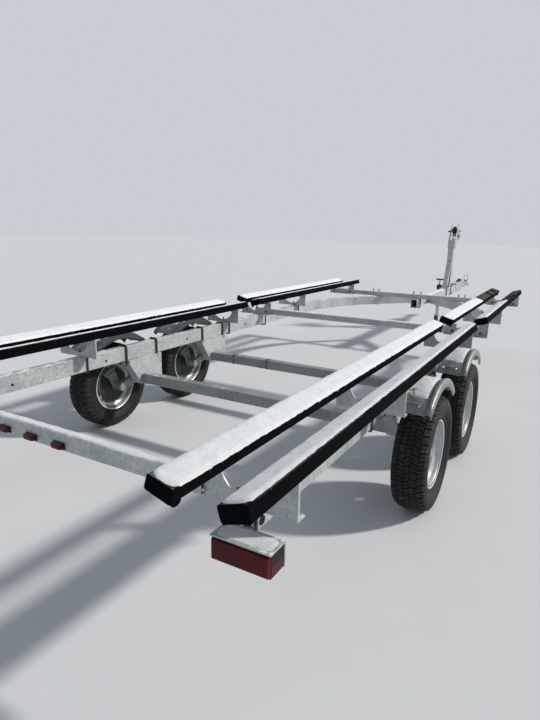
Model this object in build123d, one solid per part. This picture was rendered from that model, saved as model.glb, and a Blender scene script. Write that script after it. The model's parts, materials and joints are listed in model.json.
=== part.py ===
from build123d import *
import os
from math import atan2, cos, radians, sin, tan

# Tandem-axle boat trailer for a twin-hull pontoon boat, in millimetres.
# +Y points to the coupler, +X to the kerb side, +Z up from the ground.
# Stations along the trailer are measured from the rear axle; the whole model is moved
# by SHIFT_Y at the end, so that its origin is at the middle of its length.

# Wheels and brakes
TYRE_RADIUS = 305.0
TYRE_WIDTH = 176.0
TYRE_SHOULDER = 34.0
RIM_LIP_RADIUS = 181.0
RIM_LIP_DEPTH = 16.0
RIM_WELL_RADIUS = 142.0
RIM_WIDTH = 134.0
RIM_WELL_WIDTH = 56.0
RIM_WELL_RAMP = 12.0
RIM_SHEET = 3.2
RIM_DISC_SHEET = 5.0
RIM_DISH = 18.0
WHEEL_SIDES = 24
SMALL_SIDES = 16
WINDOW_COUNT = 8
WINDOW_RADIUS = 13.0
WINDOW_CIRCLE = 116.0
WHEEL_X = 1146.0
AXLE_SPREAD = 838.0
STUD_CIRCLE = 114.3
STUD_COUNT = 5
STUD_RADIUS = 6.4
STUD_LENGTH = 26.0
STUD_HOLE_CLEARANCE = 0.8
HUB_PILOT_RADIUS = 33.0
HUB_FLANGE_RADIUS = 74.0
HUB_BARREL_RADIUS = 52.0
HUB_FLANGE_SHEET = 10.0
HUB_CAP_LENGTH = 48.0
HUB_CAP_RADIUS = 25.0
ROTOR_RADIUS = 120.0
ROTOR_THICKNESS = 11.0
ROTOR_INSET = 34.0
SPINDLE_RADIUS = 18.0
SPINDLE_REACH = 28.0
SPINDLE_CLEARANCE = 0.06
CALIPER_ANGLE = -24.0
CALIPER_SPAN = 22.0
CALIPER_INNER = 78.0
CALIPER_WALL = 10.0
CALIPER_GAP = 3.0

# Torsion axles
ARM_DROP = 50.0
ARM_REACH = 138.0
ARM_THICKNESS = 24.0
ARM_OUT = 16.0
AXLE_BEAM = 70.0
AXLE_WALL = 5.0
HANGER_SHEET = 6.0
HANGER_PROUD = 14.0
HANGER_DROP = 194.0
HANGER_FRONT = 315.0
HANGER_REAR = -17.0
HANGER_FOOT = 97.0
HANGER_WALL_REACH = 74.0

# Frame
RAIL_WIDTH = 51.0
RAIL_HEIGHT = 102.0
RAIL_WALL = 4.8
RAIL_X = 955.5
RAIL_TOP = 612.0
RAIL_REAR = -1471.0
RAIL_END_CUT = 82.0
SWEEP_START = 2800.0
SWEEP_RADIUS = 1736.0
SWEEP_ANGLE = 42.0
TUBE_CORNER = 4.5
TONGUE_WIDTH = 76.0
TONGUE_REAR = 3880.0
TONGUE_FRONT = 6200.0
CROSS_DEPTH = 51.0
CROSS_HEIGHT = 51.0
CROSS_WALL = 3.2
CROSS_MID_Y = 1806.0
CROSS_MID_OVERHANG = 29.0
CROSS_FRONT_OVERHANG = 14.0
LIGHT_BAR_INSET = 20.0
LIGHT_BAR_HEIGHT = 63.5
SEAT_GAP = 0.3

# Fenders
FENDER_RADIUS = 390.0
FENDER_SHEET = 2.0
FENDER_INNER_X = 1000.0
FENDER_OUTER_X = 1228.0
FENDER_REAR_ANGLE = 43.0
FENDER_FRONT_ANGLE = 45.0
FENDER_STEPS = 11
FENDER_SKIRT = 42.0
FENDER_BEAD = 7.0
FENDER_LIP = 46.0
FENDER_BRACKET_Y = 225.0
FENDER_BRACKET_WIDTH = 40.0
FENDER_BRACKET_HEIGHT = 60.0

# Bunks and saddles
BUNK_OVER_FENDER = 95.0
BUNK_TOP = TYRE_RADIUS + FENDER_RADIUS + BUNK_OVER_FENDER
PAIR_X = 977.0
FRONT_PAIR_SHIFT = 17.0
PAIR_HALF = 158.0
BUNK_TILT = 17.0
BUNK_WIDTH = 96.0
BUNK_THICKNESS = 52.0
BUNK_CORNER = 6.0
REAR_BUNK_START = -1690.0
REAR_BUNK_LENGTH = 3048.0
FRONT_INNER_GAP = 220.0
FRONT_OUTER_GAP = 350.0
FRONT_BUNK_LENGTH = 2582.0
SADDLE_SHEET = 6.0
SADDLE_FLANGE = 45.0
SADDLE_LIP = 9.0
SADDLE_INSET = 8.0
SADDLE_PAD = 76.0
NOTCH_RADIUS = 105.0
NOTCH_DROP = 50.0
REAR_SADDLE_INSET = 254.0
REAR_SADDLE_MIDDLE = -400.0
REAR_SADDLE_FRONT_INSET = 158.0
FRONT_SADDLE_MIDDLE = 2550.0
FRONT_SADDLE_INSET = 176.0

# Lamps
LAMP_WIDTH = 196.0
LAMP_HEIGHT = 76.0
LAMP_DEPTH = 84.0
LAMP_X = 1023.0
LAMP_BEHIND_RAIL = 89.0
LAMP_TOP = 566.0
LAMP_CORNER = 8.0
GUARD_SHEET = 4.7
GUARD_MARGIN = 3.0
GUARD_ARM = 90.0
MARKER_SPACING = 158.0
MARKER_WIDTH = 64.0
MARKER_HEIGHT = 27.0
MARKER_DEPTH = 22.0
MARKER_RISE = 8.0
MARKER_CORNER = 9.0

# Winch stand
POST_WIDTH = 76.0
POST_DEPTH = 102.0
POST_WALL = 4.8
POST_REAR_Y = 5684.0
POST_TOP = 1310.0
POST_FOOT_SHEET = 8.0
POST_FOOT_WIDTH = 120.0
POST_FOOT_REAR = 244.0
POST_FOOT_FRONT = 14.0
BRACE_WIDTH = 60.0
BRACE_DEPTH = 53.0
BRACE_SHEET = 5.0
BRACE_REACH = 187.0
BRACE_HEIGHT = 365.0
BRACE_LEAN = 22.5
SHELF_SHEET = 6.0
SHELF_WIDTH = 80.0
SHELF_REACH = 259.0
SHELF_FLANGE = 25.0
EAR_GAP = 84.0
EAR_SHEET = 6.0
EAR_ROOT = 120.0
EAR_TIP = 92.0
ROLLER_RADIUS = 56.0
ROLLER_WIDTH = 56.0
ROLLER_CROWN = 32.0
ROLLER_AHEAD = 166.0
ROLLER_RISE = 142.0
ROLLER_PIN = 8.0
ROLLER_SLEEVE = 12.0
WINCH_AHEAD = 271.0
WINCH_RISE = 69.0
WINCH_SHEET = 5.0
WINCH_LENGTH = 126.0
WINCH_HEIGHT = 150.0
DRUM_RADIUS = 22.0
DRUM_FLANGE = 38.0
DRUM_FLANGE_SHEET = 3.0
DRUM_WIDTH = 54.0
DRUM_SHAFT = 10.0
CRANK_SHAFT = 8.0
CRANK_AHEAD = 45.0
CRANK_RISE = 50.0
CRANK_STAND = 20.0
CRANK_ARM = 158.0
CRANK_ARM_WIDTH = 24.0
CRANK_ARM_SHEET = 6.0
CRANK_GRIP_RADIUS = 14.0
CRANK_GRIP = 95.0
GEAR_COVER = 22.0
RUN_CLEARANCE = 0.06

# Jack
JACK_X = -150.0
JACK_Y = 5850.0
JACK_PIVOT_Z = 561.0
JACK_TUBE_RADIUS = 30.0
JACK_LEG_RADIUS = 25.0
JACK_LEG_CLEARANCE = 0.6
JACK_TOP = 628.0
JACK_CAP = 20.0
JACK_TUBE_BOTTOM = 300.0
JACK_LEG_INSIDE = 240.0
JACK_BRACKET_SHEET = 8.0
JACK_BRACKET_LENGTH = 130.0
JACK_BOSS_RADIUS = 26.0
JACK_BOSS = 44.0
JACK_FLANGE_RADIUS = 40.0
JACK_WHEEL_RADIUS = 76.0
JACK_WHEEL_WIDTH = 40.0
JACK_WHEEL_BOSS = 20.0
JACK_AXLE_RADIUS = 6.0
JACK_FORK_SHEET = 5.0
JACK_FORK_GAP = 50.0
CASTER_TRAIL = 25.0
JACK_GRIP_Z = 712.0
JACK_GRIP_LENGTH = 115.0
JACK_GRIP_RADIUS = 11.0

# Surge actuator and coupler
ACTUATOR_FRONT = 6600.0
ACTUATOR_LAP = 80.0
ACTUATOR_SHEET = 5.0
ACTUATOR_RAISE = 25.0
ACTUATOR_RIB = 22.0
ACTUATOR_RIB_HEIGHT = 3.0
SLIDE_PLAY = 40.0
NECK_WIDTH = 64.0
NECK_HEIGHT = 74.0
COUPLER_NOSE = 7240.0
COUPLER_Z = 561.0
HEAD_RADIUS = 44.0
HEAD_HEIGHT = 82.0
BALL_RADIUS = 25.4
BALL_CLEARANCE = 0.6
SOCKET_DEPTH = 40.0
LATCH_BEHIND = 100.0
LATCH_RISE = 57.0
LATCH_HEIGHT = 88.0
LATCH_LEG = 18.0
LATCH_SHEET = 6.0
LATCH_HALF = 33.0
LATCH_PIN = 8.0
LUG_HALF = 21.0
RESERVOIR_LENGTH = 250.0
RESERVOIR_WIDTH = 50.0
RESERVOIR_HEIGHT = 20.0
RESERVOIR_CAP = 22.0

RAIL_BOTTOM = RAIL_TOP - RAIL_HEIGHT
RAIL_INNER = RAIL_X - RAIL_WIDTH / 2
RAIL_OUTER = RAIL_X + RAIL_WIDTH / 2
HANGER_X = RAIL_INNER - HANGER_PROUD
ARM_X = RAIL_OUTER + ARM_OUT
SADDLE_HALF = PAIR_HALF + (BUNK_THICKNESS + SEAT_GAP) * sin(radians(BUNK_TILT)) - SADDLE_INSET
REAR_BUNK_END = REAR_BUNK_START + REAR_BUNK_LENGTH
FRONT_BUNK_END = REAR_BUNK_END + FRONT_INNER_GAP + FRONT_BUNK_LENGTH
CROSS_FRONT_Y = FRONT_BUNK_END - FRONT_SADDLE_INSET
LIGHT_BAR_Y = RAIL_REAR + LIGHT_BAR_INSET
LAMP_REAR = RAIL_REAR - LAMP_BEHIND_RAIL
POST_FRONT_Y = POST_REAR_Y + POST_DEPTH
ROLLER_Y = POST_REAR_Y + ROLLER_AHEAD
ROLLER_Z = POST_TOP + ROLLER_RISE
ROLLER_BORE = ROLLER_SLEEVE + RUN_CLEARANCE
SHELF_TOP = POST_TOP + SHELF_SHEET
WINCH_Y = POST_REAR_Y + WINCH_AHEAD
WINCH_Z = SHELF_TOP + WINCH_RISE
CRANK_Y = WINCH_Y + CRANK_AHEAD
CRANK_Z = WINCH_Z + CRANK_RISE
JACK_LEG_BOTTOM = 2 * JACK_WHEEL_RADIUS + 22.0
BALL_Y = COUPLER_NOSE - HEAD_RADIUS
LATCH_Y = COUPLER_NOSE - LATCH_BEHIND
LATCH_Z = COUPLER_Z + LATCH_RISE
SHIFT_Y = -(REAR_BUNK_START + COUPLER_NOSE) / 2
SIDES = {"left": -1, "right": 1}
AXLES = {"rear": 0.0, "front": AXLE_SPREAD}
# Each pair of boards: first station, inner and outer set-back, length, place across.
BUNK_ROWS = {
    "rear": (REAR_BUNK_START, 0.0, 0.0, REAR_BUNK_LENGTH, PAIR_X),
    "front": (REAR_BUNK_END, FRONT_INNER_GAP, FRONT_OUTER_GAP, FRONT_BUNK_LENGTH + FRONT_INNER_GAP,
              PAIR_X + FRONT_PAIR_SHIFT),
}
# Each saddle: the station of its plate and the way its flanges point.
SADDLE_ROWS = {
    "rear": ((REAR_BUNK_START + REAR_SADDLE_INSET, 1), (REAR_SADDLE_MIDDLE, 1),
             (REAR_BUNK_END - REAR_SADDLE_FRONT_INSET, 1)),
    "front": ((CROSS_MID_Y, -1), (FRONT_SADDLE_MIDDLE, 1), (CROSS_FRONT_Y, -1)),
}
parts = {}


# Shared forms

def block(x0, x1, y0, y1, z0, z1):
    size = (x1 - x0, y1 - y0, z1 - z0)
    return Pos((x0 + x1) / 2, (y0 + y1) / 2, (z0 + z1) / 2) * Box(*size)


def rod(radius, length, axis, place):
    turn = {"X": Rot(0, 90, 0), "Y": Rot(90, 0, 0), "Z": Rot(0, 0, 0)}[axis]
    return Pos(*place) * turn * Cylinder(radius, length)


def side_plate(x, thickness, points):
    """A plate across X, from its outline as (y, z) points in order."""
    face = make_face(Polyline(*points, close=True))
    return extrude(Plane(origin=(x, 0, 0), x_dir=(0, 1, 0), z_dir=(1, 0, 0)) * face, thickness)


def turned(profile, sides, first=0.0, last=360.0):
    """A flat-sided solid of revolution about X, from (x, radius) points in order.

    The angles are degrees from +Z towards +Y. Less than a whole turn gets two end faces.
    A radius of nought is a point on the axis, so the faces there are triangles or nothing."""
    whole = last - first >= 360.0
    rings = []
    for k in range(sides if whole else sides + 1):
        angle = radians(first + (last - first) * k / sides)
        rings.append([Vector(x, r * sin(angle), r * cos(angle)) for x, r in profile])
    faces = [] if whole else [Face(Wire.make_polygon(rings[0])), Face(Wire.make_polygon(rings[-1]))]
    for k in range(sides):
        near = rings[k]
        far = rings[(k + 1) % len(rings)]
        for i in range(len(profile)):
            j = (i + 1) % len(profile)
            corners = [near[i], near[j]] + [far[m] for m in (j, i) if profile[m][1] > 0]
            if profile[i][1] > 0 or profile[j][1] > 0:
                faces.append(Face(Wire.make_polygon(corners)))
    return Solid(Shell(faces))


def mirrored(shape, side):
    return shape if SIDES[side] > 0 else shape.mirror(Plane.YZ)


def chamfered(width, height, cut):
    return chamfer(Rectangle(width, height).vertices(), cut)


def tube_section(width, height, wall, corner):
    return chamfered(width, height, corner) - Rectangle(width - 2 * wall, height - 2 * wall)


# Frame

def cross_tube(x_half, y_rear, z_bottom, depth, height, wall):
    bar = extrude(tube_section(depth, height, wall, TUBE_CORNER), x_half, both=True)
    return Pos(0, y_rear + depth / 2, z_bottom + height / 2) * Rot(0, 90, 0) * Rot(0, 0, 90) * bar


def main_rail(side):
    angle = radians(SWEEP_ANGLE)
    start = (RAIL_X, RAIL_REAR)
    bend = (RAIL_X, SWEEP_START)
    turn_end = (RAIL_X - SWEEP_RADIUS * (1 - cos(angle)), SWEEP_START + SWEEP_RADIUS * sin(angle))
    reach = (turn_end[0] + RAIL_WIDTH) / sin(angle)
    tip = (turn_end[0] - reach * sin(angle), turn_end[1] + reach * cos(angle))
    arc = TangentArc(bend, turn_end, tangent=(0, 1))
    path = Wire([Line(start, bend).edge(), arc.edge(), Line(turn_end, tip).edge()])
    plane = Plane(origin=(RAIL_X, RAIL_REAR, 0), x_dir=(1, 0, 0), z_dir=(0, 1, 0))
    outer = sweep(plane * chamfered(RAIL_WIDTH, RAIL_HEIGHT, TUBE_CORNER), path=path)
    inner = sweep(plane * Rectangle(RAIL_WIDTH - 2 * RAIL_WALL, RAIL_HEIGHT - 2 * RAIL_WALL), path=path)
    rail = Pos(0, 0, RAIL_TOP - RAIL_HEIGHT / 2) * (outer - inner)
    rail -= block(-RAIL_X, TONGUE_WIDTH / 2, TONGUE_REAR, TONGUE_FRONT, 0, 2 * RAIL_TOP)
    low = RAIL_BOTTOM - 1
    slant = [(RAIL_REAR - 1, RAIL_TOP), (RAIL_REAR + RAIL_END_CUT, low), (RAIL_REAR - 1, low)]
    rail -= side_plate(RAIL_INNER - 1, RAIL_WIDTH + 2, slant)
    return mirrored(rail, side)


def tongue():
    section = tube_section(TONGUE_WIDTH, RAIL_HEIGHT, RAIL_WALL, TUBE_CORNER)
    length = TONGUE_FRONT - TONGUE_REAR
    return Pos(0, TONGUE_FRONT, RAIL_TOP - RAIL_HEIGHT / 2) * Rot(90, 0, 0) * extrude(section, length)


# Bunks and saddles

def bunk(sign, start, length, pair_x):
    tilt = radians(BUNK_TILT)
    centre_x = sign * (PAIR_HALF - cos(tilt) * BUNK_WIDTH / 2 + sin(tilt) * BUNK_THICKNESS / 2)
    centre_z = BUNK_TOP - sin(tilt) * BUNK_WIDTH / 2 - cos(tilt) * BUNK_THICKNESS / 2
    section = chamfered(BUNK_WIDTH, BUNK_THICKNESS, BUNK_CORNER)
    board = Rot(0, -sign * BUNK_TILT, 0) * Rot(90, 0, 0) * extrude(section, -length)
    return Pos(pair_x + centre_x, start, centre_z) * board


def saddle(y_face, facing, pair_x):
    tilt = radians(BUNK_TILT)
    bottom = RAIL_TOP
    high_x = SADDLE_HALF
    high_z = BUNK_TOP - (BUNK_THICKNESS + SEAT_GAP) * cos(tilt) - SADDLE_INSET * tan(tilt)
    reach = BUNK_WIDTH - SADDLE_INSET / cos(tilt)
    low_x = high_x - reach * cos(tilt)
    low_z = high_z - reach * sin(tilt)
    outline = [(-high_x, bottom), (-high_x, high_z), (-low_x, low_z),
               (low_x, low_z), (high_x, high_z), (high_x, bottom)]
    notch = Pos(0, BUNK_TOP - NOTCH_DROP) * RegularPolygon(NOTCH_RADIUS, WHEEL_SIDES)
    plate = make_face(Polyline(*outline, close=True)) - notch
    body = extrude(Plane(origin=(0, 0, 0), x_dir=(1, 0, 0), z_dir=(0, -1, 0)) * plate, -SADDLE_SHEET)
    body += block(-high_x, high_x, 0, SADDLE_FLANGE, bottom, bottom + SADDLE_SHEET)
    for sign in (-1, 1):
        x = sign * (high_x - SADDLE_SHEET / 2)
        top = high_z - SADDLE_SHEET * tan(tilt)
        body += block(x - SADDLE_SHEET / 2, x + SADDLE_SHEET / 2, 0, SADDLE_LIP, bottom, top)
        middle = (sign * (high_x + low_x) / 2, (high_z + low_z) / 2)
        pad = Rot(0, -sign * BUNK_TILT, 0) * Pos(0, SADDLE_FLANGE / 2, -SADDLE_SHEET / 2) * Box(
            SADDLE_PAD, SADDLE_FLANGE, SADDLE_SHEET)
        body += Pos(middle[0], 0, middle[1]) * pad
    body = body if facing > 0 else body.mirror(Plane.XZ)
    return Pos(pair_x, y_face, 0) * body


# Axles

def hanger(axle_y):
    top = RAIL_BOTTOM
    foot = top - HANGER_DROP
    knee = top - HANGER_PROUD - HANGER_SHEET
    outline = [(HANGER_REAR, top), (HANGER_FRONT, top), (HANGER_FRONT, foot), (HANGER_FOOT, foot),
               (HANGER_REAR, knee)]
    box = side_plate(HANGER_X, HANGER_SHEET, outline)
    box += block(HANGER_X, RAIL_OUTER, HANGER_REAR, HANGER_FRONT, top - HANGER_SHEET, top)
    slant = atan2(knee - foot, HANGER_FOOT - HANGER_REAR)
    across = HANGER_SHEET / sin(slant)
    wall = [(HANGER_REAR, knee), (HANGER_REAR + across, knee), (HANGER_FOOT + across, foot),
            (HANGER_FOOT, foot)]
    box += side_plate(HANGER_X, HANGER_WALL_REACH, wall)
    box += block(HANGER_X, HANGER_X + HANGER_WALL_REACH, HANGER_REAR, HANGER_REAR + across, knee, top)
    return Pos(0, axle_y, 0) * box


def axle_beam(axle_y):
    section = tube_section(AXLE_BEAM, AXLE_BEAM, AXLE_WALL, TUBE_CORNER)
    beam = Rot(0, 90, 0) * extrude(section, HANGER_X, both=True)
    return Pos(0, axle_y + ARM_REACH, TYRE_RADIUS + ARM_DROP) * beam


def caliper():
    """Pads, bridge and back plate over the disc, about the wheel's axis."""
    start = CALIPER_ANGLE - CALIPER_SPAN
    end = CALIPER_ANGLE + CALIPER_SPAN
    disc_out = -ROTOR_INSET
    disc_in = disc_out - ROTOR_THICKNESS
    crown = ROTOR_RADIUS + CALIPER_GAP
    outer = crown + CALIPER_WALL
    out_x = disc_out + CALIPER_GAP
    in_x = disc_in - CALIPER_GAP
    back_x = in_x - 2 * CALIPER_WALL
    profile = [(out_x, CALIPER_INNER), (out_x + CALIPER_WALL, CALIPER_INNER), (out_x + CALIPER_WALL, outer),
               (back_x, outer), (back_x, CALIPER_INNER), (in_x, CALIPER_INNER), (in_x, crown),
               (out_x, crown)]
    return turned(profile, 4, start, end)


def torsion_arm(axle_y, side):
    shaft_y = axle_y + ARM_REACH
    shaft_z = TYRE_RADIUS + ARM_DROP
    shaft_start = HANGER_X + HANGER_SHEET + SEAT_GAP
    shaft = rod(24, ARM_X - shaft_start, "X", ((ARM_X + shaft_start) / 2, shaft_y, shaft_z))
    ends = Pos(shaft_y, shaft_z) * RegularPolygon(34, SMALL_SIDES)
    ends += Pos(axle_y, TYRE_RADIUS) * RegularPolygon(30, SMALL_SIDES)
    plane = Plane(origin=(ARM_X, 0, 0), x_dir=(0, 1, 0), z_dir=(1, 0, 0))
    arm = extrude(plane * make_hull(ends.edges()), ARM_THICKNESS)
    end_x = WHEEL_X + SPINDLE_REACH
    arm += shaft + rod(SPINDLE_RADIUS, end_x - ARM_X, "X", ((end_x + ARM_X) / 2, axle_y, TYRE_RADIUS))
    pad_x = WHEEL_X - ROTOR_INSET - ROTOR_THICKNESS - CALIPER_GAP - 2 * CALIPER_WALL
    lean = radians(CALIPER_ANGLE)
    high = (ROTOR_RADIUS - CALIPER_GAP) * cos(lean)
    wide = 34.0
    back = [(-wide, 0), (wide, 0), (wide, high), (-wide, high)]
    turn = [(y * cos(lean) + z * sin(lean), -y * sin(lean) + z * cos(lean)) for y, z in back]
    carrier = side_plate(pad_x - CALIPER_WALL, CALIPER_WALL, turn)
    collar = [(ARM_X, 0), (ARM_X, HUB_PILOT_RADIUS), (pad_x, HUB_PILOT_RADIUS), (pad_x, 0)]
    neck = turned(collar, SMALL_SIDES)
    brake = carrier + neck + Pos(WHEEL_X, 0, 0) * caliper()
    return mirrored(arm + Pos(0, axle_y, TYRE_RADIUS) * brake, side)


def tyre():
    half = TYRE_WIDTH / 2
    bead_x = RIM_WIDTH / 2 - RIM_SHEET - SEAT_GAP
    bead_r = RIM_LIP_RADIUS - RIM_LIP_DEPTH + SEAT_GAP
    wall = [(bead_x, bead_r), (bead_x, RIM_LIP_RADIUS + 2), (half - 7, RIM_LIP_RADIUS + 26),
            (half, TYRE_RADIUS - 62), (half - 8, TYRE_RADIUS - 22), (half - TYRE_SHOULDER, TYRE_RADIUS)]
    return turned(wall + [(-x, r) for x, r in wall[::-1]], WHEEL_SIDES)


def rim():
    half = RIM_WIDTH / 2
    seat = RIM_LIP_RADIUS - RIM_LIP_DEPTH
    well = RIM_WELL_RADIUS
    side = RIM_WELL_WIDTH / 2
    ramp = side + RIM_WELL_RAMP
    inside = [(side, well - RIM_SHEET), (ramp, seat - RIM_SHEET), (half, seat - RIM_SHEET),
              (half, RIM_LIP_RADIUS)]
    outside = [(half - RIM_SHEET, RIM_LIP_RADIUS), (half - RIM_SHEET, seat), (ramp - RIM_SHEET, seat),
               (side - RIM_SHEET, well)]
    outline = inside + outside
    barrel = turned(outline + [(-x, r) for x, r in outline[::-1]], WHEEL_SIDES)
    crown = HUB_FLANGE_RADIUS + 4
    bowl = well - RIM_SHEET
    dish = [(0, HUB_PILOT_RADIUS), (0, crown), (RIM_DISH, crown + RIM_DISH), (-RIM_DISH / 2, bowl)]
    wheel = barrel + turned(dish + [(x - RIM_DISC_SHEET, r) for x, r in dish[::-1]], WHEEL_SIDES)
    # Each row of holes: how many, their radius and the height of the first one.
    holes = ((STUD_COUNT, STUD_RADIUS + STUD_HOLE_CLEARANCE, -STUD_CIRCLE / 2),
             (WINDOW_COUNT, WINDOW_RADIUS, WINDOW_CIRCLE))
    for count, radius, height in holes:
        hole = Rot(0, 90, 0) * extrude(RegularPolygon(radius, 8), RIM_WIDTH / 2, both=True)
        wheel -= [Rot(360 * k / count, 0, 0) * Pos(0, 0, height) * hole for k in range(count)]
    return wheel


def hub():
    face = -RIM_DISC_SHEET - 0.2
    bore = SPINDLE_RADIUS + SPINDLE_CLEARANCE
    disc_out = -ROTOR_INSET
    disc_in = disc_out - ROTOR_THICKNESS
    floor = SPINDLE_REACH + 2
    pilot = HUB_PILOT_RADIUS - 2
    back = face - HUB_FLANGE_SHEET
    tip = HUB_CAP_LENGTH
    cap = [(tip, 0), (tip, HUB_CAP_RADIUS), (tip - 6, pilot), (face, pilot), (face, HUB_FLANGE_RADIUS),
           (back, HUB_FLANGE_RADIUS), (back, HUB_BARREL_RADIUS), (disc_out, HUB_BARREL_RADIUS),
           (disc_out, ROTOR_RADIUS), (disc_in, ROTOR_RADIUS), (disc_in, 0)]
    body = turned(cap, SMALL_SIDES)
    body -= rod(bore, floor - disc_in, "X", ((floor + disc_in) / 2, 0, 0))
    for k in range(STUD_COUNT):
        stud = extrude(RegularPolygon(STUD_RADIUS, 6), STUD_LENGTH)
        body += Rot(360 * k / STUD_COUNT, 0, 0) * Pos(face, 0, -STUD_CIRCLE / 2) * Rot(0, 90, 0) * stud
    return body


# Fenders

def fender(axle_y, side):
    wide = FENDER_OUTER_X - FENDER_INNER_X
    top = FENDER_RADIUS
    sheet = FENDER_SHEET
    bead = FENDER_BEAD
    lip = FENDER_LIP
    # The crown, with its inner bead and the first roll of the outer lip.
    crown = [(3 * bead, top), (4 * bead, top + bead), (6 * bead, top + bead), (7 * bead, top),
             (wide - lip - bead, top), (wide - lip, top + bead), (wide - lip * 0.6, top + bead * 0.7)]
    fold = (wide - lip * 0.22, top - lip * 0.16)
    skin = [(0, top - FENDER_SKIRT), (0, top)] + crown + [fold, (wide, top - lip * 0.85)]
    lining = [(sheet, top - FENDER_SKIRT), (sheet, top - sheet)] + [(x, r - sheet) for x, r in crown]
    lining += [(fold[0] - sheet, fold[1] - sheet), (wide - sheet, top - lip * 0.85)]
    wing = turned(skin + lining[::-1], FENDER_STEPS, -FENDER_REAR_ANGLE, FENDER_FRONT_ANGLE)
    wing = Pos(FENDER_INNER_X, axle_y, TYRE_RADIUS) * wing
    half = FENDER_BRACKET_WIDTH / 2
    reach = FENDER_BRACKET_Y
    flat = FENDER_RADIUS * cos(radians((FENDER_REAR_ANGLE + FENDER_FRONT_ANGLE) / FENDER_STEPS / 2))
    z_top = TYRE_RADIUS + (flat ** 2 - (reach + half) ** 2) ** 0.5 - sheet
    for sign in (-1, 1):
        y = axle_y + sign * reach
        low = z_top - FENDER_BRACKET_HEIGHT
        wing += block(RAIL_OUTER, FENDER_INNER_X + sheet, y - half, y + half, low, z_top)
    return mirrored(wing, side)


# Lamps

def lamp(side):
    body = block(LAMP_X - LAMP_WIDTH / 2, LAMP_X + LAMP_WIDTH / 2, LAMP_REAR, LAMP_REAR + LAMP_DEPTH,
                 LAMP_TOP - LAMP_HEIGHT, LAMP_TOP)
    return mirrored(chamfer(body.edges().filter_by(Axis.Y), LAMP_CORNER / 2), side)


def lamp_guard(side):
    x0 = LAMP_X - LAMP_WIDTH / 2 - GUARD_MARGIN
    x1 = LAMP_X + LAMP_WIDTH / 2 + GUARD_MARGIN
    y_face = LAMP_REAR + LAMP_DEPTH + SEAT_GAP
    y_back = y_face + GUARD_SHEET
    z_top = LAMP_TOP + SEAT_GAP + GUARD_SHEET
    z_low = LAMP_TOP - LAMP_HEIGHT
    guard = block(x0, x1, LAMP_REAR + 4, y_back, LAMP_TOP + SEAT_GAP, z_top)
    guard += block(x0, x1, y_face, y_back, z_low, z_top)
    guard += block(RAIL_INNER - GUARD_SHEET, RAIL_INNER, y_face, RAIL_REAR + GUARD_ARM, LAMP_TOP - 30, z_top)
    return mirrored(guard, side)


def marker_lamps():
    lens = block(-MARKER_WIDTH / 2, MARKER_WIDTH / 2, -MARKER_DEPTH, 0, 0, MARKER_HEIGHT)
    lens = chamfer(lens.edges().filter_by(Axis.Y), MARKER_CORNER)
    return Compound([Pos(k * MARKER_SPACING, LIGHT_BAR_Y, RAIL_TOP + MARKER_RISE) * lens for k in (-1, 0, 1)])


# Winch stand

def winch_post():
    section = tube_section(POST_WIDTH, POST_DEPTH, POST_WALL, TUBE_CORNER)
    foot_top = RAIL_TOP + POST_FOOT_SHEET
    mast = Pos(0, POST_REAR_Y + POST_DEPTH / 2, foot_top) * extrude(section, POST_TOP - foot_top)
    half = POST_FOOT_WIDTH / 2
    foot_rear = POST_REAR_Y - POST_FOOT_REAR
    post = mast + block(-half, half, foot_rear, POST_FRONT_Y + POST_FOOT_FRONT, RAIL_TOP, foot_top)
    rear = POST_REAR_Y - BRACE_REACH
    slope = tan(radians(BRACE_LEAN))
    brace_top = foot_top + BRACE_HEIGHT
    lean = BRACE_HEIGHT * slope
    cheek = [(rear, foot_top), (rear + lean, brace_top), (POST_REAR_Y, brace_top),
             (POST_REAR_Y, foot_top + (BRACE_REACH - BRACE_DEPTH) / slope), (rear + BRACE_DEPTH, foot_top)]
    for x in (-BRACE_WIDTH / 2, BRACE_WIDTH / 2 - BRACE_SHEET):
        post += side_plate(x, BRACE_SHEET, cheek)
    skin = BRACE_SHEET / cos(radians(BRACE_LEAN))
    web = [(rear, foot_top), (rear + lean, brace_top), (rear + lean + skin, brace_top),
           (rear + skin, foot_top)]
    post += side_plate(-BRACE_WIDTH / 2, BRACE_WIDTH, web)
    return post + winch_shelf() + yoke()


def winch_shelf():
    half = SHELF_WIDTH / 2
    front = POST_FRONT_Y + SHELF_REACH
    shelf = block(-half, half, POST_REAR_Y, front, POST_TOP, SHELF_TOP)
    fall = [(POST_FRONT_Y, POST_TOP - 3 * SHELF_FLANGE), (front, POST_TOP - SHELF_FLANGE / 2),
            (front, POST_TOP), (POST_FRONT_Y, POST_TOP)]
    for x in (-half, half - SHELF_SHEET):
        shelf += side_plate(x, SHELF_SHEET, fall)
    return shelf


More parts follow.
